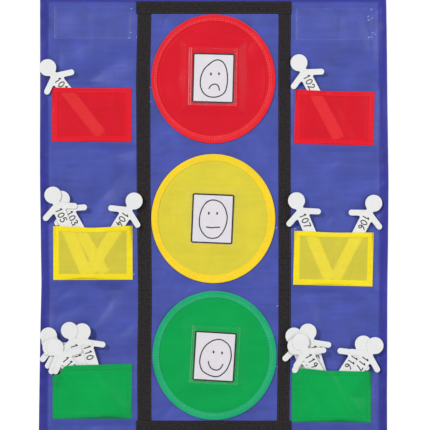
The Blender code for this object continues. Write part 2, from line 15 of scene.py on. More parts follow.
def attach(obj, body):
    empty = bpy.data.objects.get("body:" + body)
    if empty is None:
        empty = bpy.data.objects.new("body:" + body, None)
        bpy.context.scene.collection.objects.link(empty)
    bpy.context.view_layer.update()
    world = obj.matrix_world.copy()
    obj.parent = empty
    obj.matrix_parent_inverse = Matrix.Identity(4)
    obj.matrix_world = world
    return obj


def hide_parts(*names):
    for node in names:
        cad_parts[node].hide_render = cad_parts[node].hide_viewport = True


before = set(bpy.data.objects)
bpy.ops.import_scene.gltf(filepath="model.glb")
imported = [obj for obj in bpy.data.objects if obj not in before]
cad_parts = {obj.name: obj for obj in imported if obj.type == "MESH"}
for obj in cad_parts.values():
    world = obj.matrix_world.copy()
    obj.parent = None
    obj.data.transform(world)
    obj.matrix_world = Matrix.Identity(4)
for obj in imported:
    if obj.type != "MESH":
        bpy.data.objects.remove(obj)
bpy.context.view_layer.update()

# Sizes repeated from the part's source, in metres
GAP = 0.0003
PANEL_WIDTH, PANEL_HEIGHT = 0.610, 0.806
EDGE = PANEL_WIDTH / 2
TOP = 0.015
LOW = TOP - PANEL_HEIGHT
CLOTH, HEM = 0.0004, 0.0012
SIDE_HEM, TOP_HEM, FOOT_HEM = 0.014, 0.030, 0.014
WAVE_HEIGHT, WAVE_REACH, WAVE_LENGTH, FOOT_WAVE_LENGTH = 0.0024, 0.020, 0.31, 0.24
LEFT_WAVE_PHASE, RIGHT_WAVE_PHASE = math.radians(46), math.radians(149)
EYELET_XS = {"left": -0.270, "middle": 0.0, "right": 0.270}
BARREL, HOLE = 0.0056, 0.0050

TAPE, TAPE_WIDTH, LEFT_TAPE_WIDTH = 0.0006, 0.0215, 0.0242
LEFT_TAPE_X, RIGHT_TAPE_X = -0.2019 * PANEL_WIDTH, 0.2029 * PANEL_WIDTH
TOP_TAPE_Z, LOW_TAPE_Z = TOP - 0.0514 * PANEL_HEIGHT, TOP - 0.9633 * PANEL_HEIGHT
TAPE_TUCK, TAPE_OVERHANG, TAPE_STEP = 0.0015, 0.0010, 0.0020

DISC_SIZE = DISC_WIDTH, DISC_HEIGHT = 0.2175, 0.2265
DISC_CLOTH, BINDING_WIDTH, BINDING_WALL = 0.0003, 0.0114, 0.00035
DISC_BACK = GAP + BINDING_WALL + GAP
DISC_FRONT = DISC_BACK + DISC_CLOTH
BINDING_FRONT = DISC_FRONT + GAP + BINDING_WALL

CARD_WINDOW, LABEL_WINDOW = (0.085, 0.1006), (0.1345, 0.0558)
VINYL, FLANGE, WINDOW_RAMP = 0.0003, 0.0025, 0.0015
CARD_WIDTH, CARD_HEIGHT, CARD_BOARD, CARD_CORNER = 0.073, 0.087, 0.0005, 0.0034
CARD_ROOM, LABEL_ROOM = GAP + CARD_BOARD + GAP, 0.0009
CARD_LEAN, LABEL_LEAN = math.radians(0.6), math.radians(0.8)

POCKET_SIZE = POCKET_WIDTH, POCKET_HEIGHT = 0.139, 0.0945
POCKET_SIDE_HEM, POCKET_MOUTH_HEM, POCKET_SEAM, POCKET_HEM_CLOTH = 0.0095, 0.0080, 0.0045, 0.0009
SIDE_RAMP, LONG_RAMP, FOOT_RAMP, HEM_TAPER = 0.008, 0.027, 0.003, 0.0010
LEAST_DEPTH, POCKET_SLACK, STEEP, GENTLE, SOFT_START = 0.0055, 0.0006, 3.0, 2.0, 1.0
POCKET_REST = POCKET_SEAM + FOOT_RAMP

FIGURE_LENGTH, FIGURE_BOARD, HEAD_RADIUS, NECK_FILLET = 0.165, 0.0009, 0.0148, 0.0022
ARM_RADIUS, ARM_REACH, ARM_DROP, ARM_DROOP = 0.0051, 0.0272, 0.0321, 26.0
ARMPIT_FILLET, BODY_HALF, FOOT_CORNER = 0.0025, 0.01035, 0.004
FIGURE_LEAN = math.tan(math.radians(2.2))

# Each lamp: the middle of its disc and of its card window, as shares of the panel's width and height,
# and the window's clockwise turn
LAMPS = {
    "red": ((-0.0017, 0.2063), (-0.0036, 0.2017), 1.0),
    "yellow": ((-0.0020, 0.5103), (-0.0040, 0.5072), 2.5),
    "green": ((0.0014, 0.8080), (0.0026, 0.8072), 3.0),
}
LABELS = {"left": (-0.3489, 0.0839), "right": (0.3457, 0.0876)}

# Each pocket: its middle, its clockwise turn, how many figures it holds and the line of its mouth
POCKETS = {
    "left_red": ((-0.3514, 0.2846), 0.3, 1, ((0, 0), (0.5, -0.008), (1, 0))),
    "right_red": ((0.3457, 0.2911), 1.35, 1, ((0, 0), (0.5, -0.010), (1, 0))),
    "left_yellow": ((-0.3480, 0.5848), -0.2, 3, ((0, 0), (0.5, -0.034), (1, 0))),
    "right_yellow": ((0.3431, 0.5974), 1.3, 2, ((0, 0), (0.5, -0.016), (1, 0))),
    "left_green": ((-0.3497, 0.8867), 0.0, 6,
                   ((0, -0.18), (0.07, -0.18), (0.17, -0.015), (0.3, 0), (1, 0.016))),
    "right_green": ((0.3374, 0.8945), 0.3, 6, ((0, -0.070), (0.125, 0.003), (0.5, -0.040), (1, -0.050))),
}
LONG_RAMP_POCKETS = ("right_green",)

# Folds of the hanging cloth in millimetres, each a valley from one place to another: x, z, x, z, width
# and depth
FOLDS = [
    (-231, -162, -154, -108, 12, 3.4), (-219, -383, -156, -306, 14, 4.6), (-224, -267, -179, -284, 4, 1.12),
    (-179, -284, -140, -278, 4, 1.12), (-205, -528, -156, -518, 4, 1.44),
    (-287, -527, -270, -513, 3.5, 1.12), (-289, -546, -245, -516, 4, 1.6),
    (-289, -572, -217, -541, 9, 2.56), (-235, -592, -168, -518, 15, 4.2), (-207, -581, -179, -539, 7, 1.92),
    (-175, -606, -140, -578, 6, 1.76), (-224, -767, -202, -755, 5, 1.28),
    (-273, -80, -273, -129, 4.5, 1.28), (-224, -20, -219, -90, 5, 1.44), (-200, -31, -188, -73, 3.5, 0.8),
    (-151, -29, -151, -76, 4, 1.12), (-109, -253, -75, -239, 3, 0.8), (-109, -281, -65, -253, 3.5, 0.96),
    (-74, -262, -75, -299, 3.5, 0.8), (-93, -59, -82, -38, 4, 1.44), (-109, -81, -93, -81, 2.5, 0.56),
    (-107, -223, -93, -215, 3, 0.64), (-109, -486, -81, -491, 3.5, 0.8), (-47, -504, -47, -525, 3, 0.64),
    (-88, -511, -74, -493, 4, 0.96), (-93, -746, -75, -728, 4, 1.44), (70, -62, 91, -43, 3.5, 1.12),
    (84, -80, 112, -80, 3, 0.8), (46, -262, 56, -287, 3.5, 0.96), (82, -248, 84, -308, 6, 1.6),
    (67, -542, 98, -556, 3.5, 0.96), (77, -487, 100, -486, 3, 0.8), (72, -733, 109, -733, 3.5, 0.96),
    (219, -22, 217, -101, 9, 2.56), (263, -31, 282, -122, 8, 2.24), (172, -38, 189, -20, 4, 1.28),
    (196, -125, 242, -146, 9, 2.4), (167, -309, 217, -296, 5, 1.6), (189, -290, 217, -280, 4, 0.8),
    (158, -529, 224, -525, 4, 1.44), (188, -532, 186, -578, 8, 2.08), (252, -539, 251, -585, 4, 1.12),
    (144, -563, 170, -563, 5, 0.96), (189, -409, 210, -385, 7, 2.24), (63, -62, 61, -129, 20, 2.4),
    (61, -129, 77, -202, 20, 2.4), (21, -80, 39, -60, 5, 1.6), (51, -111, 65, -83, 6, 1.92),
    (-72, -332, -74, -413, 7, 1.44), (0, -458, -9, -490, 5, 1.28), (-14, -294, -12, -336, 5, 0.96),
    (11, -539, 9, -581, 5, 0.96), (51, -616, 89, -620, 5, 1.28),
]
# How round the bottom of a fold is, as a share of its width, and how sharply its ends die out
FOLD_SOFTNESS, FOLD_END = 0.6, 1.2
# Gentler ripples over the whole cloth: wavelength across, wavelength up, phase, depth
RIPPLES = [(0.170, 0.110, 0.4, 0.0007), (0.095, 0.230, 2.1, 0.0005), (-0.130, 0.075, 4.0, 0.0005),
           (0.060, 0.140, 1.2, 0.0003), (-0.210, 0.052, 5.3, 0.0003), (0.310, 0.031, 0.2, 0.0001)]
# How far round a pocket and a card window folds and ripples die out, and how far from the top and sides
POCKET_CALM, WINDOW_CALM, TOP_CALM, SIDE_CALM, SIDE_STILL = 0.014, 0.020, 0.055, 0.030, 0.006
# The ripples of a slack pocket, whose phase is counted once for each figure in it, and those of a disc
POCKET_RIPPLES = [(0.047, 0.31, 3, 0.00030), (0.029, -0.12, 1, 0.00018)]
DISC_RIPPLES = [(0.034, 0.400, 0.9, 0.00015), (0.052, -0.120, 3.0, 0.00013), (-0.090, 0.040, 4.2, 0.00008)]
# How much of its ripples each disc has, and where they start
DISC_SLACK = {"red": (1.0, 0.0), "yellow": (1.0, 0.013), "green": (0.55, 0.031)}
# How much denser a disc's cloth looks than one free layer, because it lies on the panel
DISC_DENSITY = {"red": 0.0, "yellow": 0.25, "green": 0.5}
# The width of each binding at the disc's right, top, left and bottom: it is folded by hand
BINDING_WIDTHS = {"red": (0.0120, 0.0119, 0.0097, 0.0136), "yellow": (0.0136, 0.0116, 0.0112, 0.0142),
                  "green": (0.0124, 0.0120, 0.0117, 0.0125)}
# How far a binding puffs out, where its two rows of stitches run as shares of its width, and at which
# angle its tape's end laps over its start
BINDING_PUFF, BINDING_ROWS = 0.0011, (0.60, 0.84)
BINDING_LAPS = {"red": -60, "yellow": -95, "green": -88}
# The lines of the upright strips from top to foot, in millimetres: height and middle
LEFT_TAPE_LINE = ((0, -121.5), (-30, -121.8), (-95, -123.2), (-150, -124.6), (-200, -124), (-360, -123.4),
                  (-430, -122.2), (-500, -121.2), (-550, -121), (-620, -122.2), (-700, -122.2),
                  (-791, -121.4))
RIGHT_TAPE_LINE = ((0, 124), (-60, 124), (-140, 123.4), (-500, 124), (-600, 123.8), (-680, 122),
                   (-791, 121))
# Loose thread ends that show as pale specks on the blue, in millimetres
THREAD_ENDS = [(-144.8, -28.3), (-133.6, -34.3), (-148.1, -79), (-112.4, -167.3), (-112.4, -191.8),
               (-133.2, -153.3), (109.4, -412.5), (111, -549.5), (109.4, -655.7), (142.3, -413.8),
               (-140.8, -493.5), (-112.9, -411.3), (270.9, -661.4), (270.5, -42), (276.5, -29.2),
               (277.6, -44), (271.8, -47.7), (278.7, -70), (276.5, -78), (271.8, -78.2), (283.8, -72.5),
               (-146.2, -70), (-135, -77.2)]
# How white the welded left edge, right edge and foot of each clear window look: the milky weld, and
# a painted highlight where an edge catches the light from the upper left, so mostly the left edges are
# whitest
WINDOW_MILK_AND_HIGHLIGHT = {"red": (0.95, 0.35, 0.30), "yellow": (0.35, 0.30, 0.35), "green": (0.40, 0.12, 0.16),
               "left": (0.45, 0.08, 0.06), "right": (0.55, 0.08, 0.06)}
# How far the panel's side edges lie outside a straight line, from the foot to the top, and how far
# inwards that reaches
EDGE_HEIGHTS = (-0.791, -0.700, -0.510, -0.440, -0.330, -0.240, -0.013, 0.015)
LEFT_EDGE_OUT = (0.0026, 0.0014, -0.0024, -0.0012, 0.0, 0.0, 0.0, 0.0)
RIGHT_EDGE_OUT = (-0.0012, -0.0018, -0.0006, 0.0002, 0.0009, 0.0, -0.0030, -0.0034)
EDGE_RUN = 0.045
# How far inside a folded hem's raw edge its stitches run
SEAM_IN = 0.0015

# A drawn face on each card, in millimetres from the card's middle: its round outline, eyes and mouth
FACES = {
    "red": (((-9.4, 22.4), (-3.5, 27.9), (5.9, 32), (14.5, 29.4), (20.3, 22), (23.6, 11), (24.8, -2),
             (23.6, -15), (20, -24.8), (12, -31), (1, -33.6), (-10, -31.5), (-17.2, -25.8), (-21.5, -17.4),
             (-22.8, -8.3), (-21.5, 2.8), (-18.2, 12), (-13.9, 18.4), (-9.2, 22.9), (-5.6, 26.4)),
            ((-4.5, 7), (9.6, 7.8)),
            ((-7.4, -18.5), (-4, -13.4), (1.5, -10.5), (6.5, -11.6), (9.6, -15), (11, -21.3))),
    "yellow": (((-11.8, 28.5), (-7.3, 31.2), (-1.4, 32.8), (5.7, 32.2), (13.9, 28.6), (20.3, 20.8),
                (24.2, 11), (25.6, 1.9), (24.5, -8.2), (21.8, -16.4), (18, -24), (12.4, -30.6),
                (7.4, -33.2), (-0.6, -34.2), (-7.7, -32.8), (-13.9, -28), (-19.2, -21), (-22.1, -13.2),
                (-23, -4.2), (-22.4, 4.9), (-20.2, 14), (-17, 21.2), (-12, 28), (-8.6, 30)),
               ((-6.9, 9.4), (7.6, 9.7)),
               ((-9.9, -14.9), (-5.4, -15.5), (-0.3, -15.8), (5.7, -14.9), (13, -14.3))),
    "green": (((-5.7, 27.2), (-1.8, 29), (6.2, 30.6), (13.3, 29), (20.7, 24.4), (26, 17.7), (28.5, 8.8),
               (29, 0.8), (27.7, -7.4), (24.3, -17.7), (19.7, -25.5), (14, -30.9), (10, -33.6), (4.2, -35),
               (-2.9, -34.2), (-10, -31.9), (-18.5, -27.3), (-22.9, -20.5), (-25.2, -12.6), (-25.2, -3.6),
               (-23, 6.6), (-19, 15), (-13.4, 21.5), (-5.4, 27.6), (-1.4, 28.7)),
              ((-2.3, 7.9), (12.7, 7.1)),
              ((-10.2, -9.2), (-9.2, -13.7), (-5.9, -19.5), (-0.6, -22.7), (5.5, -23.3), (10.4, -21),
               (13.2, -17.3), (15.2, -12.7))),
}
# Hand-written numerals, each a list of strokes on a box one hundred units high
NUMERALS = {
    "0": [[(30, 100), (6, 72), (4, 28), (30, 0), (56, 28), (54, 72), (30, 100)]],
    "1": [[(14, 78), (34, 100)], [(34, 100), (33, 50), (31, 0)]],
    "2": [[(5, 78), (28, 100), (55, 78), (35, 40), (3, 2)], [(3, 2), (30, 6), (60, 3)]],
    "3": [[(6, 88), (32, 100), (52, 78), (25, 55)], [(25, 55), (56, 35), (32, 0), (3, 12)]],
    "4": [[(38, 100), (2, 36)], [(2, 36), (62, 38)], [(46, 64), (42, 0)]],
    "5": [[(52, 100), (12, 98)], [(12, 98), (8, 58)], [(8, 58), (36, 62), (55, 30), (30, 0), (3, 8)]],
    "6": [[(45, 100), (12, 62), (5, 22), (30, 0), (54, 22), (32, 46), (8, 28)]],
    "7": [[(3, 98), (30, 100), (58, 97)], [(58, 97), (36, 50), (22, 0)]],
    "8": [[(30, 54), (7, 78), (30, 100), (53, 78), (30, 54), (4, 25), (30, 0), (57, 25), (30, 54)]],
    "9": [[(52, 75), (28, 52), (6, 76), (30, 100), (52, 75), (50, 40), (36, 0)]],
}
NUMERAL_HEIGHT, NUMERAL_PITCH, NUMERAL_WANDER, SHOULDER_DROP = 0.0115, 0.0092, 0.0006, 0.0400
FIRST_NUMBER = 101
# How far the die rounds the edges of a figure and of a face card
FIGURE_BEVEL, CARD_BEVEL = 0.00014, 0.0001
# How wide the pen lines are, and how high the ink stands
NUMBER_PEN, FACE_PEN, EYE_PEN, BORDER_PEN, INK_HEIGHT = 0.0018, 0.0021, 0.0030, 0.0026, 0.00004

# The dyes of each lamp's cloth: flat and folded, the share and tint of the light through it, and its gloss
CLOTHS = {
    "red": ("#ea081a", "#dd0620", 0.27, "#ffd2d4", 0.22),
    "yellow": ("#fff050", "#f2dc10", 0.43, "#fff030", 0.25),
    "green": ("#00a74f", "#009c4b", 0.14, "#18ff90", 0.12),
}
# The dyes of each lamp's edge tape, of the thread on that and on its window, and of its pockets' thread
TRIMS = {
    "red": ("#da0f1e", "#ee6a74", "#e23440"),
    "yellow": ("#efcc14", "#f0dc62", "#ecd638"),
    "green": ("#00a068", "#6ac48c", "#12a452"),
}


# Materials

def linear(hex_colour):
    """An sRGB hex colour as linear RGBA."""
    channels = [int(hex_colour[i:i + 2], 16) / 255 for i in (1, 3, 5)]
    return (*[c / 12.92 if c <= 0.04045 else ((c + 0.055) / 1.055) ** 2.4 for c in channels], 1.0)


def feed(node, inputs):
    """Gives a node's inputs, by name or number, their values or the sockets that feed them."""
    for key, value in dict(inputs).items():
        if isinstance(value, bpy.types.NodeSocket):
            node.id_data.links.new(value, node.inputs[key])
        else:
            node.inputs[key].default_value = value


def add(tree, kind, inputs=(), out=0, **settings):
    """Adds a node and gives back one of its outputs, or the node itself where out is None."""
    node = tree.nodes.new(kind)
    for key, value in settings.items():
        setattr(node, key, value)
    feed(node, inputs)
    return node if out is None else node.outputs[out]


def start_material(name, roughness, specular=0.5, metallic=0.0, sheen=0.0, uv_map=""):
    """A new material, its tree, its shader and the place on the piece that its patterns follow."""
    material = bpy.data.materials.new(name)
    material.use_nodes = True
    tree = material.node_tree
    shader = tree.nodes["Principled BSDF"]
    feed(shader, {"Roughness": roughness, "Specular IOR Level": specular, "Metallic": metallic,
                  "Sheen Weight": sheen})
    if uv_map:
        return material, tree, shader, add(tree, "ShaderNodeUVMap", uv_map=uv_map)
    return material, tree, shader, add(tree, "ShaderNodeTexCoord", out="Object")


def surface(shader, hex_colour, pattern, tones, height=None, strength=0.0, depth=0.0):
    """Shades a colour by a pattern, from one range to another, and raises the surface by a height."""
    tree = shader.id_data
    tone = add(tree, "ShaderNodeMapRange", enumerate((pattern, *tones)))
    base = add(tree, "ShaderNodeVectorMath", {0: linear(hex_colour)[:3], 3: tone}, operation="SCALE")
    feed(shader, {"Base Color": base})
    if height:
        bump = add(tree, "ShaderNodeBump", {"Strength": strength, "Distance": depth, "Height": height})
        feed(shader, {"Normal": bump})


def bands(pitch):
    """A wave texture's scale for one band in each pitch, in metres."""
    return 2 * math.pi / (20 * pitch)


def woven_nylon(name, cloth, folded, clear=0.0, tint="#ffffff", roughness=0.5, gloss=0.25, uneven=0.05):
    """Plain-woven coated nylon: a satin gloss and a slight tone drift, and light passes through one
    layer of it. The threads are 0.25 mm apart on the real cloth and drawn at 0.9 mm so that they show."""
    drift_size, streak_size, thread_gap, crease_size = 0.045, 0.006, 0.0009, 0.018
    through_folded, through_back = 0.06, 0.94
    material, tree, shader, place = start_material(name, roughness, specular=gloss, sheen=0.06)
    fold = add(tree, "ShaderNodeAttribute", out="Fac", attribute_name="folded")
    drift = add(tree, "ShaderNodeTexNoise", {"Vector": place, "Scale": 1 / drift_size, "Detail": 3.0}, "Fac")
    drawn_out = add(tree, "ShaderNodeVectorMath", {0: place, 1: (0.10, 1.0, 1.0)}, operation="MULTIPLY")
    streak = add(tree, "ShaderNodeTexNoise", {"Vector": drawn_out, "Scale": 1 / streak_size, "Detail": 2.0},
                 "Fac")
    patchy = add(tree, "ShaderNodeMath", {0: streak, 1: 0.6, 2: drift}, operation="MULTIPLY_ADD")
    tone = add(tree, "ShaderNodeMapRange", {0: patchy, 1: 0.5, 2: 1.1, 3: 1 - uneven, 4: 1 + uneven})
    dyed = add(tree, "ShaderNodeMix", {0: fold, 6: linear(cloth), 7: linear(folded)}, 2, data_type="RGBA")
    base = add(tree, "ShaderNodeVectorMath", {0: dyed, 3: tone}, operation="SCALE")

    weave = {"Vector": place, "Scale": bands(thread_gap), "Distortion": 0.4}
    warp, weft = (add(tree, "ShaderNodeTexWave", weave, "Fac", bands_direction=way) for way in "XZ")
    threads = add(tree, "ShaderNodeMath", {0: warp, 1: weft}, operation="MAXIMUM")
    crease = add(tree, "ShaderNodeTexNoise",
                 {"Vector": place, "Scale": 1 / crease_size, "Detail": 4.0, "Roughness": 0.55}, "Fac")
    woven = add(tree, "ShaderNodeBump", {"Strength": 0.35, "Distance": 0.00006, "Height": threads})
    creased = add(tree, "ShaderNodeBump",
                  {"Strength": 0.6, "Distance": 0.0017, "Height": crease, "Normal": woven})
    feed(shader, {"Base Color": base, "Normal": creased})
    if clear:
        inner = add(tree, "ShaderNodeAttribute", out="Fac", attribute_name="inner")
        single = add(tree, "ShaderNodeMapRange", {0: fold, 3: clear, 4: through_folded})
        share = add(tree, "ShaderNodeMix", {0: inner, 2: single, 3: through_back})
        filtered = add(tree, "ShaderNodeMix", {0: inner, 6: linear(tint), 7: linear("#ffffff")}, 2,
                       data_type="RGBA")
        passing = add(tree, "ShaderNodeBsdfTransparent", {"Color": filtered})
        both = add(tree, "ShaderNodeMixShader", {0: share, 1: shader.outputs[0], 2: passing})
        feed(tree.nodes["Material Output"], {"Surface": both})
    return material


def ribbed_webbing(name, hex_colour):
    """Woven polypropylene webbing: matt, with coarse crossing ribs. They are 1.5 mm apart on the real
    strap and drawn at 3.2 mm so that they show."""
    rib_gap, fuzz_size = 0.0032, 0.004
    material, tree, shader, place = start_material(name, 0.78, specular=0.15, sheen=0.12, uv_map="strip")
    ribs = {"Vector": place, "Scale": bands(rib_gap)}
    across, along = (add(tree, "ShaderNodeTexWave", ribs, "Fac", bands_direction=way) for way in "XY")
    lattice = add(tree, "ShaderNodeMath", {0: across, 1: along}, operation="MULTIPLY")
    fuzz = add(tree, "ShaderNodeTexNoise", {"Vector": place, "Scale": 1 / fuzz_size, "Detail": 4.0}, "Fac")
    height = add(tree, "ShaderNodeMath", {0: fuzz, 1: 1.8, 2: lattice}, operation="MULTIPLY_ADD")
    surface(shader, hex_colour, height, (0.6, 1.7, 0.05, 2.1), height, 0.7, 0.0004)
    return material


def sewing_thread(name, hex_colour):
    """Twisted polyester thread: a slight gloss. Its ply is finer on the real thread and drawn at 0.8 mm."""
    ply_gap = 0.0008
    material, tree, shader, place = start_material(name, 0.5, sheen=0.1)
    ply = add(tree, "ShaderNodeTexWave", {"Vector": place, "Scale": bands(ply_gap)}, "Fac",
              bands_direction="DIAGONAL")
    surface(shader, hex_colour, ply, (0.0, 1.0, 0.85, 1.1), ply, 0.5, 0.00008)
    return material


def clear_vinyl(name, hex_colour):
    """Calendered soft PVC film: nearly clear and glossy, and milky where it is welded and folded. The same
    whiteness carries a painted highlight along the edges that catch the light.
    """
    haze_size = 0.02
    material, tree, shader, place = start_material(name, 0.16, specular=0.6)
    rim = add(tree, "ShaderNodeAttribute", out="Fac", attribute_name="rim")
    haze = add(tree, "ShaderNodeTexNoise", {"Vector": place, "Scale": 1 / haze_size, "Detail": 3.0}, "Fac")
    patchy = add(tree, "ShaderNodeMapRange", {0: haze, 1: 0.35, 2: 0.7, 3: 0.55, 4: 1.0})
    milk_and_highlight = add(tree, "ShaderNodeMath", {0: rim, 1: patchy}, operation="MULTIPLY")
    alpha = add(tree, "ShaderNodeMapRange", {0: milk_and_highlight, 3: 0.005, 4: 0.22})
    bump = add(tree, "ShaderNodeBump", {"Strength": 0.4, "Distance": 0.0010, "Height": haze})
    feed(shader, {"Base Color": linear(hex_colour), "Alpha": alpha, "Normal": bump})
    return material


def coated_card(name, hex_colour, roughness):
    """Clay-coated white card: smooth and even, with a faint paper grain drawn at 1.2 mm so that it shows."""
    grain_size, cloud_size = 0.0012, 0.03
    material, tree, shader, place = start_material(name, roughness, specular=0.35)
    grain = add(tree, "ShaderNodeTexNoise", {"Vector": place, "Scale": 1 / grain_size, "Detail": 3.0}, "Fac")
    cloud = add(tree, "ShaderNodeTexNoise", {"Vector": place, "Scale": 1 / cloud_size, "Detail": 2.0}, "Fac")
    mixed = add(tree, "ShaderNodeMath", {0: grain, 1: 0.5, 2: cloud}, operation="MULTIPLY_ADD")
    surface(shader, hex_colour, mixed, (0.5, 1.0, 0.975, 1.02), grain, 0.25, 0.00004)
    return material


def marker_ink(name, hex_colour):
    """Dry felt-marker ink: dark grey, soaked in unevenly."""
    soak_size = 0.004
    material, tree, shader, place = start_material(name, 0.6, specular=0.3)
    soak = add(tree, "ShaderNodeTexNoise", {"Vector": place, "Scale": 1 / soak_size, "Detail": 2.0}, "Fac")
    surface(shader, hex_colour, soak, (0.3, 0.7, 0.6, 1.7))
    return material


def stamped_metal(name, hex_colour, roughness):
    """Stamped and rolled sheet metal, tumbled to a soft polish: fine random scratches, drawn 0.8 mm apart."""
    scratch_gap = 0.0008
    material, tree, shader, place = start_material(name, roughness, metallic=1.0)
    scratch = add(tree, "ShaderNodeTexNoise", {"Vector": place, "Scale": 1 / scratch_gap, "Detail": 5.0},
                  "Fac")
    rough = add(tree, "ShaderNodeMapRange",
                {0: scratch, 1: 0.3, 2: 0.7, 3: roughness - 0.08, 4: roughness + 0.12})
    feed(shader, {"Roughness": rough})
    surface(shader, hex_colour, scratch, (0.3, 0.7, 0.92, 1.03), scratch, 0.3, 0.00003)
    return material


# Shapes

def place_of(shares):
    """World (x, z) of shares of the panel's width from its middle and of its height from its top."""
    return shares[0] * PANEL_WIDTH, TOP - shares[1] * PANEL_HEIGHT


def sewn_frame(shares, turn):
    """A sewn-on piece's own frame, from its middle, turned clockwise by so many degrees."""
    x, z = place_of(shares)
    return Matrix.Translation((x, 0, z)) @ Matrix.Rotation(math.radians(turn), 4, "Y")


def moved(matrix, points):
    """An array of points carried by a matrix."""
    return points @ np.array(matrix.to_3x3()).T + np.array(matrix.translation)


def joined(x, y, z):
    """Arrays of x, y and z as one array of points."""
    return np.stack([x, y, z], axis=-1)


def on_patch(matrix, size, along, off, up):
    """Points of a sewn-on rectangle, from distances across it, off the cloth and up it."""
    return moved(matrix, joined(along - size[0] / 2, -off, up - size[1] / 2))


def rise(distance, length, steepness=STEEP):
    """A soft ramp from 0 to 1 over a length, steep at first and easing towards its end."""
    t = np.clip(np.asarray(distance) / length, 0.0, 1.0)
    return (1 - np.exp(-steepness * t)) / (1 - math.exp(-steepness))


def ease(value, start, end):
    """A smooth rise from 0 to 1 between two values."""
    t = np.clip((np.asarray(value) - start) / (end - start), 0.0, 1.0)
    return t * t * (3 - 2 * t)


def outside(x, z, shares, turn, size, fade):
    """0 on a sewn-on rectangle of cloth and 1 beyond its fade."""
    centre_x, centre_z = place_of(shares)
    angle = math.radians(turn)
    dx, dz = x - centre_x, z - centre_z
    along = dx * math.cos(angle) - dz * math.sin(angle)
    up = dx * math.sin(angle) + dz * math.cos(angle)
    past = np.maximum(np.abs(along) - size[0] / 2, np.abs(up) - size[1] / 2)
    return ease(past, 0.0, fade)


def ripple(x, z, waves):
    """Gentle ripples, only ever away from the viewer."""
    return sum(depth * (1 + np.sin(2 * math.pi * (x / wide + z / high) + phase))
               for wide, high, phase, depth in waves)


def relief(x, z):
    """How far the cloth lies behind y = 0: folds and ripples that die out under windows and pockets,
    where cards and figures stand."""
    deep = ripple(x, z, RIPPLES)
    for start_x, start_z, end_x, end_z, width, depth in np.array(FOLDS) / 1000:
        half = math.hypot(end_x - start_x, end_z - start_z) / 2
        run_x, run_z = (end_x - start_x) / 2 / half, (end_z - start_z) / 2 / half
        dx, dz = x - (start_x + end_x) / 2, z - (start_z + end_z) / 2
        along, off = dx * run_x + dz * run_z, dz * run_x - dx * run_z
        soft = FOLD_SOFTNESS * width
        valley = np.exp((soft - np.sqrt(off * off + soft * soft)) / width)
        deep = deep + depth * valley * np.exp(-FOLD_END * (along / half) ** 4)
    for shares, turn, _, _ in POCKETS.values():
        deep = deep * outside(x, z, shares, turn, POCKET_SIZE, POCKET_CALM)
    for _, shares, turn in LAMPS.values():
        deep = deep * outside(x, z, shares, turn, CARD_WINDOW, WINDOW_CALM)
    hung = 1 - ease(z, TOP - TOP_CALM, TOP - TOP_HEM)
    return deep * hung * (1 - ease(np.abs(x), EDGE - SIDE_CALM, EDGE - SIDE_STILL))


def edge_wave(x, z):
    """How far the loose hems wave forward or back."""
    side = rise(np.abs(x) - (EDGE - WAVE_REACH), WAVE_REACH, SOFT_START)
    phase = np.where(x < 0, LEFT_WAVE_PHASE, RIGHT_WAVE_PHASE)
    side_wave = np.sin(2 * math.pi * z / WAVE_LENGTH + phase)
    foot = rise(LOW + FOOT_HEM - z, FOOT_HEM)
    foot_wave = np.sin(2 * math.pi * x / FOOT_WAVE_LENGTH)
    hung = rise(TOP - TOP_HEM - z, 2 * TOP_HEM)
    return WAVE_HEIGHT * hung * (side * side_wave * (1 - foot) + foot * foot_wave)


def cloth_front(x, z):
    """The panel's front face."""
    return relief(x, z) - edge_wave(x, z)


def edge_shift(x, z):
    """How the hung side edges run in and out of a straight line."""
    left = np.interp(z, EDGE_HEIGHTS, LEFT_EDGE_OUT)
    right = np.interp(z, EDGE_HEIGHTS, RIGHT_EDGE_OUT)
    return np.where(x < 0, -left, right) * ease(np.abs(x), EDGE - EDGE_RUN, EDGE)


def hemmed_at(x, z):
    """Where the panel's cloth is doubled by a hem."""
    return (np.abs(x) >= EDGE - SIDE_HEM) | (z <= LOW + FOOT_HEM) | (z >= TOP - TOP_HEM)


def settled(points):
    """Flat points on the cloth, moved back with its folds."""
    out = np.array(points, dtype=float)
    out[..., 1] += relief(out[..., 0], out[..., 2])
    return out


def steps(start, end, pitch, extra=()):
    """Evenly spaced stations with extra ones let in, without any two closer than a fifth of the pitch."""
    line = list(np.linspace(start, end, max(2, int(round((end - start) / pitch)) + 1)))
    for value in extra:
        line = [v for v in line if abs(v - value) > pitch / 5 or v in (line[0], line[-1])]
        if all(abs(v - value) > 1e-7 for v in line):
            line.append(value)
        line = sorted(line)
    return np.array(line)


def placed(name, data):
    """A new object in the scene, with its place in its data."""
    item = bpy.data.objects.new(name, data)
    bpy.context.scene.collection.objects.link(item)
    return item


def mesh_points(mesh):
    """A mesh's points, a row for each."""
    flat = np.empty(len(mesh.vertices) * 3)
    mesh.vertices.foreach_get("co", flat)
    return flat.reshape(-1, 3)


def mesh_object(name, points, faces, materials, face_materials=None, sharp=50.0):
    """A new object of smooth faces, with an edge wherever they meet at more than a sharp angle."""
    mesh = bpy.data.meshes.new(name)
    mesh.from_pydata([tuple(p) for p in points], [], [tuple(f) for f in faces])
    for material in materials:
        mesh.materials.append(material)
    if face_materials is not None:
        mesh.polygons.foreach_set("material_index", face_materials)
    mesh.shade_smooth()
    mesh.set_sharp_from_angle(angle=math.radians(sharp))
    return placed(name, mesh)


def stands_for(item, node, body="chart"):
    """Puts a piece on its body, in the place of the node that it dresses."""
    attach(item, body)
    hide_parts(node)


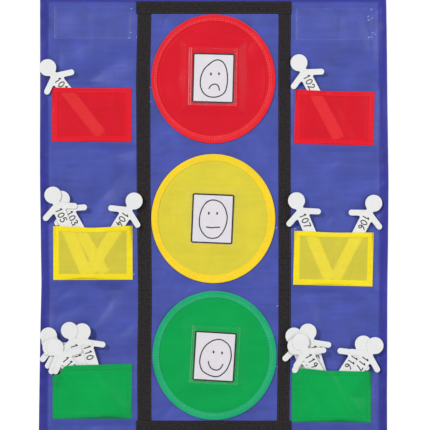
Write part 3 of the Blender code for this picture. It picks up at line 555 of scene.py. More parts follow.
def shell(name, front, back, material, fields=None, keep=None, strip=None):
    """A closed sheet between two grids of points. Rows run up and columns to +X, so its front faces -Y.
    Fields are named values for the front and the back grid, and strip is a grid of (across, along)."""
    rows, columns = front.shape[:2]
    count = rows * columns
    index = np.arange(count).reshape(rows, columns)
    cells = np.stack([index[:-1, :-1], index[:-1, 1:], index[1:, 1:], index[1:, :-1]], axis=-1)
    keep = np.ones(cells.shape[:2], bool) if keep is None else keep
    faces = [cells[keep], (cells[keep] + count)[:, ::-1]]
    around = np.pad(keep, 1)
    beside = (around[:-2, 1:-1], around[1:-1, 2:], around[2:, 1:-1], around[1:-1, :-2])
    for side, neighbour in enumerate(beside):
        rim = cells[keep & ~neighbour]
        a, b = rim[:, side], rim[:, (side + 1) % 4]
        faces.append(np.stack([b, a, a + count, b + count], axis=-1))
    faces = np.concatenate(faces)
    used, compact = np.unique(faces, return_inverse=True)
    points = np.concatenate([front.reshape(-1, 3), back.reshape(-1, 3)])[used]
    item = mesh_object(name, points, compact.reshape(faces.shape).tolist(), [material])
    for field, (near, far) in (fields or {}).items():
        values = np.concatenate([near.reshape(-1), far.reshape(-1)])[used]
        item.data.attributes.new(field, "FLOAT", "POINT").data.foreach_set("value", values.astype(np.float32))
    if strip is not None:
        pairs = np.concatenate([strip.reshape(-1, 2)] * 2)[used]
        corners = np.empty(len(item.data.loops), dtype=np.int32)
        item.data.loops.foreach_get("vertex_index", corners)
        layer = item.data.uv_layers.new(name="strip")
        layer.data.foreach_set("uv", pairs[corners].astype(np.float32).reshape(-1))
    return item


def turned(name, profile, sides, x, material):
    """A closed (radius, y) profile turned about the Y axis at a place along the top hem."""
    angles = np.linspace(0, 2 * math.pi, sides, endpoint=False)
    points = [(x + r * math.cos(t), y, r * math.sin(t)) for t in angles for r, y in profile]
    wide = len(profile)
    faces = []
    for i in range(sides):
        here, there = i * wide, (i + 1) % sides * wide
        for j in range(wide):
            k = (j + 1) % wide
            faces.append((here + j, here + k, there + k, there + j))
    return mesh_object(name, points, faces, [material], sharp=38.0)


# Strokes of ink, lying on a card in the card's own frame

def smooth_line(points, cuts=6):
    """A Catmull-Rom curve through a stroke's points."""
    points = [np.array(p, dtype=float) for p in points]
    padded = [2 * points[0] - points[1]] + points + [2 * points[-1] - points[-2]]
    if np.allclose(points[0], points[-1]):
        padded[0], padded[-1] = points[-2], points[1]
    line = []
    for before, a, b, after in zip(padded, padded[1:], padded[2:], padded[3:]):
        for t in np.linspace(0, 1, cuts, endpoint=False):
            line.append(0.5 * (2 * a + (b - before) * t + (2 * before - 5 * a + 4 * b - after) * t**2
                               + (3 * a - before - 3 * b + after) * t**3))
    return np.array(line + [points[-1]])


def tube_faces(count):
    """The four sides of a bar with so many square sections, and its two ends."""
    faces = []
    for i in range(0, 4 * (count - 1), 4):
        faces += [(i + j, i + (j + 1) % 4, i + 4 + (j + 1) % 4, i + 4 + j) for j in range(4)]
    last = 4 * (count - 1)
    return faces + [(3, 2, 1, 0), (last, last + 1, last + 2, last + 3)]


def stroke(line, width, height):
    """A flat ribbon of ink with round ends along (x, z) points, standing on y = height."""
    tangent = np.gradient(line, axis=0)
    tangent /= np.maximum(np.linalg.norm(tangent, axis=1, keepdims=True), 1e-9)
    # Each end is rounded by two more sections: how far out and how wide, as shares of the width
    (tip, tip_share), (near, near_share) = (0.42, 0.45), (0.2, 0.85)
    line = np.vstack([line[0] - tangent[0] * width * tip, line[0] - tangent[0] * width * near, line,
                      line[-1] + tangent[-1] * width * near, line[-1] + tangent[-1] * width * tip])
    tangent = np.vstack([tangent[:1], tangent[:1], tangent, tangent[-1:], tangent[-1:]])
    half = np.full(len(line), width / 2)
    half[[0, -1]] *= tip_share
    half[[1, -2]] *= near_share
    side = np.stack([-tangent[:, 1], tangent[:, 0]], axis=1) * half[:, None]
    points = []
    for (lx, lz), (rx, rz) in zip(line + side, line - side):
        low = height - INK_HEIGHT
        points += [(lx, height, lz), (rx, height, rz), (rx, low, rz), (lx, low, lz)]
    return points, tube_faces(len(line))


def bevelled_plate(outline, thickness, bevel):
    """A flat card whose two edges are slightly rounded by the die, between y = 0 and y = -thickness."""
    line = np.array(outline)
    ahead, behind = np.roll(line, -1, axis=0), np.roll(line, 1, axis=0)
    along = ahead - behind
    along /= np.linalg.norm(along, axis=1, keepdims=True)
    inward = np.stack([-along[:, 1], along[:, 0]], axis=1)
    inner = line + inward * bevel
    levels = ((inner, 0.0), (line, -bevel), (line, bevel - thickness), (inner, -thickness))
    points = [(x, y, z) for ring, y in levels for x, z in ring]
    count = len(line)
    faces = [tuple(range(count)), tuple(range(4 * count - 1, 3 * count - 1, -1))]
    for ring in range(3):
        for i in range(count):
            k = (i + 1) % count
            faces.append((ring * count + k, ring * count + i, (ring + 1) * count + i, (ring + 1) * count + k))
    return points, faces


def drawn_card(name, matrix, plate, strokes, board, ink):
    """A card and the ink on its front, as one piece carried to its place."""
    points, faces = list(plate[0]), list(plate[1])
    kinds = [0] * len(faces)
    for more_points, more_faces in strokes:
        base = len(points)
        points += more_points
        faces += [tuple(base + i for i in face) for face in more_faces]
        kinds += [1] * len(more_faces)
    item = mesh_object(name, moved(matrix, np.array(points)), faces, [board, ink], kinds, sharp=35.0)
    bm = bmesh.new()
    bm.from_mesh(item.data)
    bmesh.ops.recalc_face_normals(bm, faces=bm.faces)
    bm.to_mesh(item.data)
    bm.free()
    return item


def plate_frame(node, from_foot):
    """The frame of a flat card of the model: x across it, z along its length, and its front at -y."""
    points = np.unique(np.round(mesh_points(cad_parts[node].data), 5), axis=0)
    _, axes = np.linalg.eigh(np.cov((points - points.mean(axis=0)).T))
    front = Vector(axes[:, 0]) if axes[1, 0] < 0 else -Vector(axes[:, 0])
    upward = Vector(axes[:, 2]) if axes[2, 2] > 0 else -Vector(axes[:, 2])
    across = (-front).cross(upward)
    sides, ends, faces = [(float(min(reach)), float(max(reach))) for reach in
                          (points @ np.array(axis) for axis in (across, upward, front))]
    height = ends[0] if from_foot else sum(ends) / 2
    matrix = Matrix((across, -front, upward)).transposed().to_4x4()
    matrix.translation = across * (sum(sides) / 2) + upward * height + front * faces[0]
    return matrix


# What repeats along a path is made by these trees

def open_tree(name, **kinds):
    """A geometry tree whose inputs are named by kind, the sockets that give them, and its group output."""
    tree = bpy.data.node_groups.new(name, "GeometryNodeTree")
    for kind, titles in {"Geometry": ("Geometry",), **kinds}.items():
        for title in titles:
            tree.interface.new_socket(title, in_out="INPUT", socket_type="NodeSocket" + kind)
    tree.interface.new_socket("Geometry", in_out="OUTPUT", socket_type="NodeSocketGeometry")
    return tree, add(tree, "NodeGroupInput", out=None).outputs, add(tree, "NodeGroupOutput", out=None)


def stitch_tree():
    """Lockstitches along every line of edges: small beads of thread, each a little slanted."""
    tree, give, leave = open_tree(
        "lockstitches", Float=("Pitch", "Length", "Width", "Height", "Slant", "Unevenness"), Int=("Seed",),
        Material=("Thread",))
    rows = add(tree, "GeometryNodeMeshToCurve", {"Mesh": give["Geometry"]})
    spaced = add(tree, "GeometryNodeResampleCurve", {"Curve": rows, "Length": give["Pitch"]}, mode="LENGTH")
    bead = add(tree, "GeometryNodeMeshUVSphere", {"Segments": 6, "Rings": 4, "Radius": 0.5})
    tangent = add(tree, "GeometryNodeInputTangent")
    along = add(tree, "FunctionNodeAlignRotationToVector", {"Vector": tangent}, axis="X")
    facing = add(tree, "FunctionNodeAlignRotationToVector", {"Rotation": along, "Vector": (0, -1, 0)},
                 axis="Z", pivot_axis="X")
    tilt = add(tree, "FunctionNodeAxisAngleToRotation", {"Axis": (0, 0, 1), "Angle": give["Slant"]})
    slanted = add(tree, "FunctionNodeRotateRotation", {"Rotation": facing, "Rotate By": tilt},
                  rotation_space="LOCAL")
    least = add(tree, "ShaderNodeMath", {0: 1.0, 1: give["Unevenness"]}, operation="SUBTRACT")
    vary = add(tree, "FunctionNodeRandomValue", {2: least, 3: 1.0, "Seed": give["Seed"]}, 1)
    size = add(tree, "ShaderNodeCombineXYZ", {0: give["Length"], 1: give["Width"], 2: give["Height"]})
    varied = add(tree, "ShaderNodeVectorMath", {0: size, 3: vary}, operation="SCALE")
    beads = add(tree, "GeometryNodeInstanceOnPoints",
                {"Points": spaced, "Instance": bead, "Rotation": slanted, "Scale": varied})
    real = add(tree, "GeometryNodeRealizeInstances", {"Geometry": beads})
    smooth = add(tree, "GeometryNodeSetShadeSmooth", {"Geometry": real})
    done = add(tree, "GeometryNodeSetMaterial", {"Geometry": smooth, "Material": give["Thread"]})
    feed(leave, {0: done})
    return tree


def bound_edge_tree():
    """A tape folded over a round edge: its section swept round an ellipse, puckered by its stitches, with
    its end lapped over its start."""
    tree, give, leave = open_tree(
        "folded_edge_tape", Object=("Section",), Int=("Stations",), Material=("Tape",),
        Float=("Width", "Height", "Pitch", "Pucker", "Lap Turn", "Lap Length", "Lap Rise"))
    ring = add(tree, "GeometryNodeCurvePrimitiveCircle", {"Resolution": give["Stations"], "Radius": 0.5})
    lap_turn = add(tree, "ShaderNodeCombineXYZ", {2: give["Lap Turn"]})
    started = add(tree, "GeometryNodeTransform", {"Geometry": ring, "Rotation": lap_turn})
    size = add(tree, "ShaderNodeCombineXYZ", {0: give["Width"], 1: give["Height"], 2: 1.0})
    oval = add(tree, "GeometryNodeTransform", {"Geometry": started, "Scale": size})
    level = add(tree, "GeometryNodeSetCurveNormal", {"Curve": oval}, mode="Z_UP")
    length = add(tree, "GeometryNodeSplineParameter", out="Length")
    marked = add(tree, "GeometryNodeStoreNamedAttribute",
                 {"Geometry": level, "Name": "along", "Value": length})
    section = add(tree, "GeometryNodeObjectInfo", {"Object": give["Section"]}, "Geometry")
    outline = add(tree, "GeometryNodeMeshToCurve", {"Mesh": section})
    tape = add(tree, "GeometryNodeCurveToMesh", {"Curve": marked, "Profile Curve": outline})

    along = add(tree, "GeometryNodeInputNamedAttribute", {"Name": "along"})
    turns = add(tree, "ShaderNodeMath", {0: along, 1: give["Pitch"]}, operation="DIVIDE")
    phase = add(tree, "ShaderNodeMath", {0: turns, 1: 2 * math.pi}, operation="MULTIPLY")
    wave = add(tree, "ShaderNodeMath", {0: phase}, operation="SINE")
    puckered = add(tree, "ShaderNodeMath", {0: wave, 1: give["Pucker"]}, operation="MULTIPLY")
    lapped = add(tree, "FunctionNodeCompare", {0: along, 1: give["Lap Length"]}, operation="LESS_THAN")
    face = add(tree, "GeometryNodeInputNormal")
    outward = add(tree, "ShaderNodeSeparateXYZ", {0: face}, 2)
    front = add(tree, "ShaderNodeMath", {0: outward, 1: 0.3}, operation="GREATER_THAN")
    raised = add(tree, "ShaderNodeMath", {0: lapped, 1: front}, operation="MULTIPLY")
    risen = add(tree, "ShaderNodeMath", {0: raised, 1: give["Lap Rise"], 2: puckered},
                operation="MULTIPLY_ADD")
    push = add(tree, "ShaderNodeVectorMath", {0: face, 3: risen}, operation="SCALE")
    shaped = add(tree, "GeometryNodeSetPosition", {"Geometry": tape, "Offset": push})
    upright = add(tree, "GeometryNodeTransform", {"Geometry": shaped, "Rotation": (math.pi / 2, 0, 0)})
    smooth = add(tree, "GeometryNodeSetShadeSmooth", {"Geometry": upright})
    real = add(tree, "GeometryNodeRealizeInstances", {"Geometry": smooth})
    done = add(tree, "GeometryNodeSetMaterial", {"Geometry": real, "Material": give["Tape"]})
    feed(leave, {0: done})
    return tree


def grown(name, tree, values, points=(), edges=()):
    """The plain mesh that a tree makes from lines of edges, as a new object."""
    seed_mesh = bpy.data.meshes.new(name + "_lines")
    seed_mesh.from_pydata([tuple(p) for p in points], list(edges), [])
    seed = placed(name + "_lines", seed_mesh)
    modifier = seed.modifiers.new("make", "NODES")
    modifier.node_group = tree
    sockets = {s.name: s.identifier for s in tree.interface.items_tree if s.in_out == "INPUT"}
    for title, value in values.items():
        modifier[sockets[title]] = value
    whole = seed.evaluated_get(bpy.context.evaluated_depsgraph_get())
    mesh = bpy.data.meshes.new_from_object(whole)
    mesh.name = name
    seed.modifiers.remove(modifier)
    bpy.data.objects.remove(seed, do_unlink=True)
    return placed(name, mesh)


def sew(name, tree, rows, thread, pitch=0.0036, length=0.0027, width=0.0006, height=0.0005, seed=1):
    """One piece with every stitch of some rows, each row an array of points."""
    points, edges = [], []
    for row in rows:
        base = len(points)
        points += [tuple(p) for p in row]
        edges += [(base + i, base + i + 1) for i in range(len(row) - 1)]
    values = {"Pitch": pitch, "Length": length, "Width": width, "Height": height, "Slant": math.radians(5),
              "Unevenness": 0.22, "Seed": seed, "Thread": thread}
    item = grown(name, tree, values, points, edges)
    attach(item, "chart")


# The chart's pieces

def make_panel(material):
    """The hemmed nylon back: one cloth that is doubled behind at its four edges, with three holes."""
    pitch, fold_step, groove_half, side_round, end_round = 0.0034, 0.0004, 0.0009, 0.0015, 0.0012
    stitch = EDGE - SIDE_HEM + SEAM_IN
    marks = [EDGE - SIDE_HEM - fold_step, EDGE - SIDE_HEM, stitch - groove_half, stitch, stitch + groove_half,
             EDGE - side_round]
    columns = steps(-EDGE, EDGE, pitch, [-m for m in marks] + marks)
    rows = steps(LOW, TOP, pitch, [LOW + FOOT_HEM, LOW + FOOT_HEM + fold_step, TOP - TOP_HEM - fold_step,
                                   TOP - TOP_HEM, LOW + end_round, TOP - end_round])
    x, z = np.meshgrid(columns, rows)
    # Grid points near an eyelet's hole are pushed out to its edge, and the cells inside it are left out
    hole, hole_cells, hole_middle = 0.0063, 0.0064, 0.0020
    for centre in EYELET_XS.values():
        reach = np.hypot(x - centre, z)
        push = np.where(reach < hole, hole / np.maximum(reach, 1e-6), 1.0)
        near = reach > hole_middle
        x, z = np.where(near, centre + (x - centre) * push, x), np.where(near, z * push, z)
    # Hemmed cloth takes the darker folded dye: painted shade on the doubled hems, in place of the light that
    # shows through one layer of cloth and not through two
    hemmed = hemmed_at(x, z).astype(float)
    thick = np.where(hemmed > 0, HEM, CLOTH)

    # The hem's row of stitches pulls a small groove into the front, and the very edge is rounded
    groove_depth, groove_width, groove_pitch = 0.00022, 0.0011, 0.0109
    edge_round, pull_depth, pull_reach, pull_length = 0.0004, 0.0004, 0.010, 0.047
    pull_wander, wander_rate = 6, 19
    seam = np.exp(-((np.abs(x) - stitch) / groove_width) ** 2)
    groove = groove_depth * seam * (1 + 0.5 * np.sin(2 * math.pi * z / groove_pitch))
    outer = np.maximum(np.abs(x) - (EDGE - side_round), 0) / side_round
    outer = np.maximum(outer, np.maximum(LOW + end_round - z, 0) / end_round)
    rounding = edge_round * np.clip(outer, 0, 1) ** 2
    pull = np.exp(-((np.abs(x) - EDGE) / pull_reach) ** 2)
    pull *= pull_depth * np.sin(2 * math.pi * z / pull_length + pull_wander * np.sin(z * wander_rate))
    y = cloth_front(x, z) + groove + pull
    wide = x + edge_shift(x, z)
    middle_x, middle_z = (columns[:-1] + columns[1:]) / 2, (rows[:-1] + rows[1:]) / 2
    keep = np.ones((len(rows) - 1, len(columns) - 1), bool)
    for centre in EYELET_XS.values():
        keep &= np.hypot(middle_x[None, :] - centre, middle_z[:, None]) > hole_cells
    front, back = joined(wide, y + rounding, z), joined(wide, y + thick - rounding, z)
    return shell("panel_cloth", front, back, material, {"folded": (hemmed, hemmed)}, keep)


def make_strip(name, centre, along, width, upright, base, material):
    """A webbing strip along a line: rounded long edges, on the folds of the cloth below it."""
    edge_round, edge_share = 0.0006, 0.35
    # As shares of the half width, closest together where the edges are rounded
    shares = np.array([-1, -0.985, -0.94, -0.84, -0.5, 0, 0.5, 0.84, 0.94, 0.985, 1])
    across = shares * width / 2
    edge = np.clip((width / 2 - np.abs(across)) / edge_round, 0, 1)
    crown = TAPE * (edge_share + (1 - edge_share) * np.sqrt(1 - (1 - edge) ** 2))
    grid = np.ones((len(along), len(across)))
    grids = [centre[:, None] + across * grid, along[:, None] * grid, across * grid, base[:, None] * grid,
             crown * grid]
    beside, run, over, off, thick = grids if upright else [values.T for values in grids]
    x, z = (beside, run) if upright else (run, beside)
    front, back = settled(joined(x, -(off + thick), z)), settled(joined(x, -off, z))
    return shell(name, front, back, material, strip=np.stack([over, run], axis=-1))


def tape_line(line, z):
    """The middle of an upright strip at some heights, smoothed between its listed points."""
    heights, middles = np.array(line[::-1]).T / 1000
    reaches = (-0.02, -0.01, 0.0, 0.01, 0.02)
    return sum(np.interp(z + reach, heights, middles) for reach in reaches) / len(reaches)


def make_webbing(material):
    """Two upright strips and two cross strips over their ends, and the lines they are sewn along."""
    pitch, seam_in, seam_clear = 0.004, 0.0022, 0.001
    head, foot = TOP_TAPE_Z + TAPE_WIDTH / 2 - TAPE_TUCK, LOW_TAPE_Z - TAPE_WIDTH / 2 + TAPE_TUCK
    along = steps(foot, head, pitch)
    uprights = (("left", tape_line(LEFT_TAPE_LINE, along), LEFT_TAPE_WIDTH),
                ("right", tape_line(RIGHT_TAPE_LINE, along), TAPE_WIDTH))
    level = np.full(len(along), GAP)
    strips = [make_strip("webbing_" + label, centre, along, wide, True, level, material)
              for label, centre, wide in uprights]
    starts = LEFT_TAPE_X - LEFT_TAPE_WIDTH / 2 - TAPE_OVERHANG
    ends = RIGHT_TAPE_X + TAPE_WIDTH / 2 + TAPE_OVERHANG
    over_left = LEFT_TAPE_X + LEFT_TAPE_WIDTH / 2 + GAP
    over_right = RIGHT_TAPE_X - TAPE_WIDTH / 2 - GAP
    bends = (over_left, over_left + TAPE_STEP, over_right - TAPE_STEP, over_right)
    stations = steps(starts, ends, pitch, bends)
    base = GAP + (GAP + TAPE) * (1 - ease(stations, bends[0], bends[1]) + ease(stations, bends[2], bends[3]))
    lines = []
    for label, z in (("top", TOP_TAPE_Z), ("bottom", LOW_TAPE_Z)):
        centre = np.full(len(stations), z)
        strips.append(make_strip("webbing_" + label, centre, stations, TAPE_WIDTH, False, base, material))
        for side in (-1, 1):
            seam = centre + side * (TAPE_WIDTH / 2 - seam_in)
            lines.append(joined(stations, -(base + TAPE), seam)[1:-1])
    shown = TAPE_WIDTH / 2 + seam_clear
    between = (along > LOW_TAPE_Z + shown) & (along < TOP_TAPE_Z - shown)
    for _, centre, wide in uprights:
        for side in (-1, 1):
            seam = centre + side * (wide / 2 - seam_in)
            lines.append(joined(seam, -(level + TAPE), along)[between])
    return strips, [settled(line) for line in lines]


def make_disc(colour, material):
    """The round cloth of one lamp, slack enough to ripple between its binding and its window."""
    (centre_x, centre_z), (window, turn) = place_of(LAMPS[colour][0]), LAMPS[colour][1:]
    wall, columns = BINDING_WALL + GAP, 97
    line = np.linspace(-1, 1, columns)
    u, v = np.meshgrid(line, line)
    dx, dz = u * np.sqrt(1 - v * v / 2), v * np.sqrt(1 - u * u / 2)
    x, z = centre_x + dx * (DISC_WIDTH / 2 - wall), centre_z + dz * (DISC_HEIGHT / 2 - wall)
    share, start = DISC_SLACK[colour]
    # The binding's edge presses a narrow groove into the cloth, and the slack dies out towards it
    fade, window_fade, groove_depth, groove_in, groove_width = 0.12, 0.012, 0.00045, 0.015, 0.014
    radius = np.hypot(dx, dz)
    inner_edge = 1 - binding_width(colour, np.arctan2(dz, dx)) / (DISC_WIDTH / 2)
    slack = 1 - ease(radius, inner_edge - fade, inner_edge)
    slack *= outside(x, z, window, turn, CARD_WINDOW, window_fade)
    pressed = groove_depth * np.exp(-((radius - inner_edge + groove_in) / groove_width) ** 2)
    sag = share * slack * ripple(x + start, z + start, DISC_RIPPLES) + pressed
    front, back = (settled(joined(x, sag - off, z)) for off in (DISC_FRONT, DISC_BACK))
    dense, outer, inner = np.full(x.shape, DISC_DENSITY[colour]), np.zeros(x.shape), np.ones(x.shape)
    return shell("disc_cloth_" + colour, front, back, material,
                 {"folded": (dense, dense), "inner": (outer, inner)})


def binding_width(colour, angle):
    """The width of a hand-folded binding, eased between its right, top, left and bottom."""
    widths = np.array(BINDING_WIDTHS[colour] + BINDING_WIDTHS[colour][:1])
    quarter = np.mod(angle, 2 * math.pi) / (math.pi / 2)
    low = np.minimum(quarter.astype(int), 3)
    return widths[low] + (widths[low + 1] - widths[low]) * ease(quarter - low, 0, 1)


def tape_section():
    """The folded tape's section, a loop of edges from its fold at x = 0 inwards."""
    front, back = -BINDING_FRONT, -GAP
    slot_front, slot_back, middle = -(DISC_FRONT + GAP), -(GAP + BINDING_WALL), (front + back) / 2
    wide = -BINDING_WIDTH
    # Along the front: a rounded fold, then the two rows of stitches pull shallow dips into it
    dips = [(-0.0003, 0.0004), (-0.0012, 0.0001), (-0.0030, 0.0), (-0.0056, 0.00004), (-0.0068, 0.00020),
            (-0.0080, 0.00004), (-0.0096, 0.00018), (-0.0108, 0.0), (wide, 0.00010)]
    outline = [(wide, back), (-0.0010, back), (-0.0003, back - 0.0003), (0.0, middle)]
    outline += [(x, front + dip - BINDING_PUFF * (1 - x / wide)) for x, dip in dips]
    outline += [(wide, slot_front), (-0.0011, slot_front), (-0.00045, middle), (-0.0011, slot_back),
                (wide, slot_back)]
    section = placed("tape_section", bpy.data.meshes.new("tape_section"))
    count = len(outline)
    loop = [(i, (i + 1) % count) for i in range(count)]
    section.data.from_pydata([(x, y, 0) for x, y in outline], loop, [])
    return section


def make_binding(colour, tree, section, material):
    """The folded tape round one disc, and the line it is sewn along."""
    centre_x, centre_z = place_of(LAMPS[colour][0])
    sharp_degrees, row_points = 60, 300
    item = grown("edge_tape_" + colour, tree, {
        "Width": DISC_WIDTH, "Height": DISC_HEIGHT, "Section": section, "Stations": 1200, "Pitch": 0.0047,
        "Pucker": 0.00013, "Lap Turn": math.radians(BINDING_LAPS[colour]), "Lap Length": 0.012,
        "Lap Rise": 0.0003, "Tape": material})
    points = mesh_points(item.data)
    stretch = DISC_WIDTH / DISC_HEIGHT
    angle = np.arctan2(points[:, 2] * stretch, points[:, 0])
    radius = np.hypot(points[:, 0], points[:, 2] * stretch)
    depth = np.clip((DISC_WIDTH / 2 - radius) / BINDING_WIDTH, 0, 1)
    points[:, ::2] *= (1 - depth * (binding_width(colour, angle) - BINDING_WIDTH) / radius)[:, None]
    points += np.array([centre_x, 0, centre_z])
    item.data.vertices.foreach_set("co", settled(points).reshape(-1))
    item.data.set_sharp_from_angle(angle=math.radians(sharp_degrees))
    item.data.update()
    turn = np.linspace(0, 2 * math.pi, row_points)
    lines = []
    for share in BINDING_ROWS:
        inset = share * binding_width(colour, turn)
        face = np.full(len(turn), -BINDING_FRONT - BINDING_PUFF * (1 - share))
        lines.append(settled(joined(centre_x + (DISC_WIDTH / 2 - inset) * np.cos(turn), face,
                                    centre_z + (DISC_HEIGHT / 2 - inset) * np.sin(turn))))
    return item, lines


def sewn_lines(path, count, surface_points):
    """Evenly spaced points of a surface along each straight run of a path."""
    share = np.linspace(0, 1, count)
    return [surface_points(a + (c - a) * share, b + (d - b) * share) for a, b, c, d in path]


def window_sheet(name, matrix, size, base, room, lean, milk_and_highlight, hugs, material):
    """A clear window sewn down at its sides and foot, and the three lines it is sewn along. An empty one
    hugs the cloth's folds, and a full one stands free of them. Milk and highlight is how white its left
    edge, its right edge and its foot look: the milky weld, and a painted highlight where an edge catches
    the light."""
    width, height = size
    inner = FLANGE + WINDOW_RAMP
    pitch, rim_width, bend_width, bow_height, seam_in, seam_end = 0.003, 0.0009, 0.0008, 0.0004, 0.0013, 0.001
    mouth_milk, bend_milk, seam_points = 0.08, 0.2 if hugs else 0.55, 40
    marks = [rim_width, FLANGE, inner]
    columns = steps(0, width, pitch, marks + [width - mark for mark in reversed(marks)])
    rows = steps(0, height, pitch, marks + [height - rim_width])

    def off_cloth(along, up):
        side = np.minimum(along, width - along) - FLANGE
        share = rise(side, WINDOW_RAMP) * rise(up - FLANGE, WINDOW_RAMP)
        bow = bow_height * share * np.sin(math.pi * along / width) ** 2 * np.clip(up / height, 0, 1)
        return base + GAP + share * (room + up * math.tan(lean)) + bow

    along, up = np.meshgrid(columns, rows)
    off = off_cloth(along, up)
    edge = np.minimum(np.minimum(along, width - along), up)
    # The rim whitening is the milky weld and bend, and with it a painted highlight where they catch the light
    rim = mouth_milk * np.exp(-((height - up) / rim_width) ** 2)
    for share, inward in zip(milk_and_highlight, (along, width - along, up)):
        rim = np.maximum(rim, share * (np.exp(-(inward / rim_width) ** 2)
                                       + bend_milk * np.exp(-((inward - inner) / bend_width) ** 2)))
    rim = np.clip(rim, 0, 1)
    front, back = on_patch(matrix, size, along, off + VINYL, up), on_patch(matrix, size, along, off, up)
    settle = relief(back[..., 0], back[..., 2]) * (1.0 if hugs else 1 - rise(edge - FLANGE, WINDOW_RAMP))
    front[..., 1] += settle
    back[..., 1] += settle
    item = shell(name, front, back, material, {"rim": (rim, rim)})
    head = height - seam_end
    path = ((seam_in, head, seam_in, seam_in), (seam_in, seam_in, width - seam_in, seam_in),
            (width - seam_in, seam_in, width - seam_in, head))
    return item, sewn_lines(path, seam_points, lambda along, up: settled(
        on_patch(matrix, size, along, off_cloth(along, up) + VINYL, up)))


def figure_reach(matrix, x, z):
    """How far points lie outside a figure's outline, and how far its front stands off the panel there."""
    origin = np.array(matrix @ Vector((0, -FIGURE_BOARD, 0)))
    across, back, upward = (np.array(matrix.col[i][:3]) for i in range(3))
    y = origin[1] - (back[0] * (x - origin[0]) + back[2] * (z - origin[2])) / back[1]
    points = np.stack([x, y, z], axis=-1) - origin
    side, up = np.abs(points @ across), points @ upward
    body = np.hypot(np.maximum(side - BODY_HALF, 0), np.maximum(-up, 0))
    head = np.hypot(side, up - (FIGURE_LENGTH - HEAD_RADIUS)) - HEAD_RADIUS
    tip = FIGURE_LENGTH - HEAD_RADIUS - ARM_DROP
    slope = math.tan(math.radians(ARM_DROOP))
    share = np.clip((side * ARM_REACH + (tip + ARM_REACH * slope - up) * ARM_REACH * slope)
                    / (ARM_REACH ** 2 * (1 + slope ** 2)), 0, 1)
    arm = np.hypot(side - share * ARM_REACH, up - tip - ARM_REACH * slope * (1 - share)) - ARM_RADIUS
    return np.maximum(np.minimum(np.minimum(body, head), arm), 0), -y


def pocket_points(name, along, row):
    """The panel side of a pocket's cloth, at distances across it and up it, on flat cloth. It lies over
    the figures in the pocket and eases down to its seams, within the room that the model gives it."""
    shares, turn, count, mouth = POCKETS[name]
    share = along / POCKET_WIDTH
    lift = np.zeros_like(along)
    for (start, low), (end, high) in zip(mouth, mouth[1:]):
        here = (share >= start) & (share <= end)
        lift = np.where(here, POCKET_HEIGHT * (low + (high - low) * ease(share, start, end)), lift)
    up = row + lift * (row / POCKET_HEIGHT) ** 3
    above = np.maximum(up - POCKET_REST, 0) * FIGURE_LEAN
    stack = count * (FIGURE_BOARD + GAP) + GAP + above
    depth = np.maximum(stack + POCKET_SLACK, LEAST_DEPTH + above)
    long_ramp = name in LONG_RAMP_POCKETS
    # The cloth starts to rise this far in, a little before the solid's own ramp
    start = 0.0012
    ease_in = POCKET_SEAM - start
    left_ramp, left_steepness = (LONG_RAMP, GENTLE) if long_ramp else (SIDE_RAMP, STEEP)
    left = rise(along - start, left_ramp + ease_in, left_steepness)
    open_share = (left * rise(POCKET_WIDTH - along - start, SIDE_RAMP + ease_in)
                  * rise(up - start, FOOT_RAMP + ease_in, GENTLE))
    room = (depth - GAP) * open_share

    # It bulges a little towards its middle and mouth, and is held out over each figure
    bulge_reach, foot_bulge, mouth_bulge, hold_flat, hold_reach = 0.030, 0.0010, 0.0018, 0.0012, 0.020
    matrix = sewn_frame(shares, turn)
    flat = on_patch(matrix, POCKET_SIZE, along, 0 * along, up)
    inside = np.minimum(np.minimum(along, POCKET_WIDTH - along), up) - POCKET_SEAM
    bulge = np.clip(inside / bulge_reach, 0, 1)
    drape = bulge * (2 - bulge) * (foot_bulge + mouth_bulge * np.clip(up / POCKET_HEIGHT, 0, 1))
    for node in figures_in(name):
        away, front = figure_reach(plate_frame(node, True), flat[..., 0], flat[..., 2])
        hold = np.exp(-(np.maximum(away - hold_flat, 0) / hold_reach) ** 2)
        drape = np.maximum(drape, (front + POCKET_SLACK - GAP) * hold)

    # It ripples where it is slack, and puckers beside its stitches
    slack_fade, green_share = 0.012, 0.4
    pucker_depth, pucker_width, pucker_length, pucker_phase = 0.00016, 0.005, 0.0087, 1.3
    waves = [(wide, high, phase * count, deep) for wide, high, phase, deep in POCKET_RIPPLES]
    slack = ease(inside, 0.0, slack_fade) * ripple(along, up, waves)
    off = GAP + np.minimum(room, drape) + slack * (green_share if "green" in name else 1.0)
    seam = np.minimum(np.minimum(along, POCKET_WIDTH - along), row)
    beside = np.where(seam == row, along, row)
    pucker = np.exp(-((seam - POCKET_SEAM) / pucker_width) ** 2)
    pucker *= 1 + np.sin(2 * math.pi * beside / pucker_length + pucker_phase)
    return on_patch(matrix, POCKET_SIZE, along, off + pucker_depth * pucker, up)


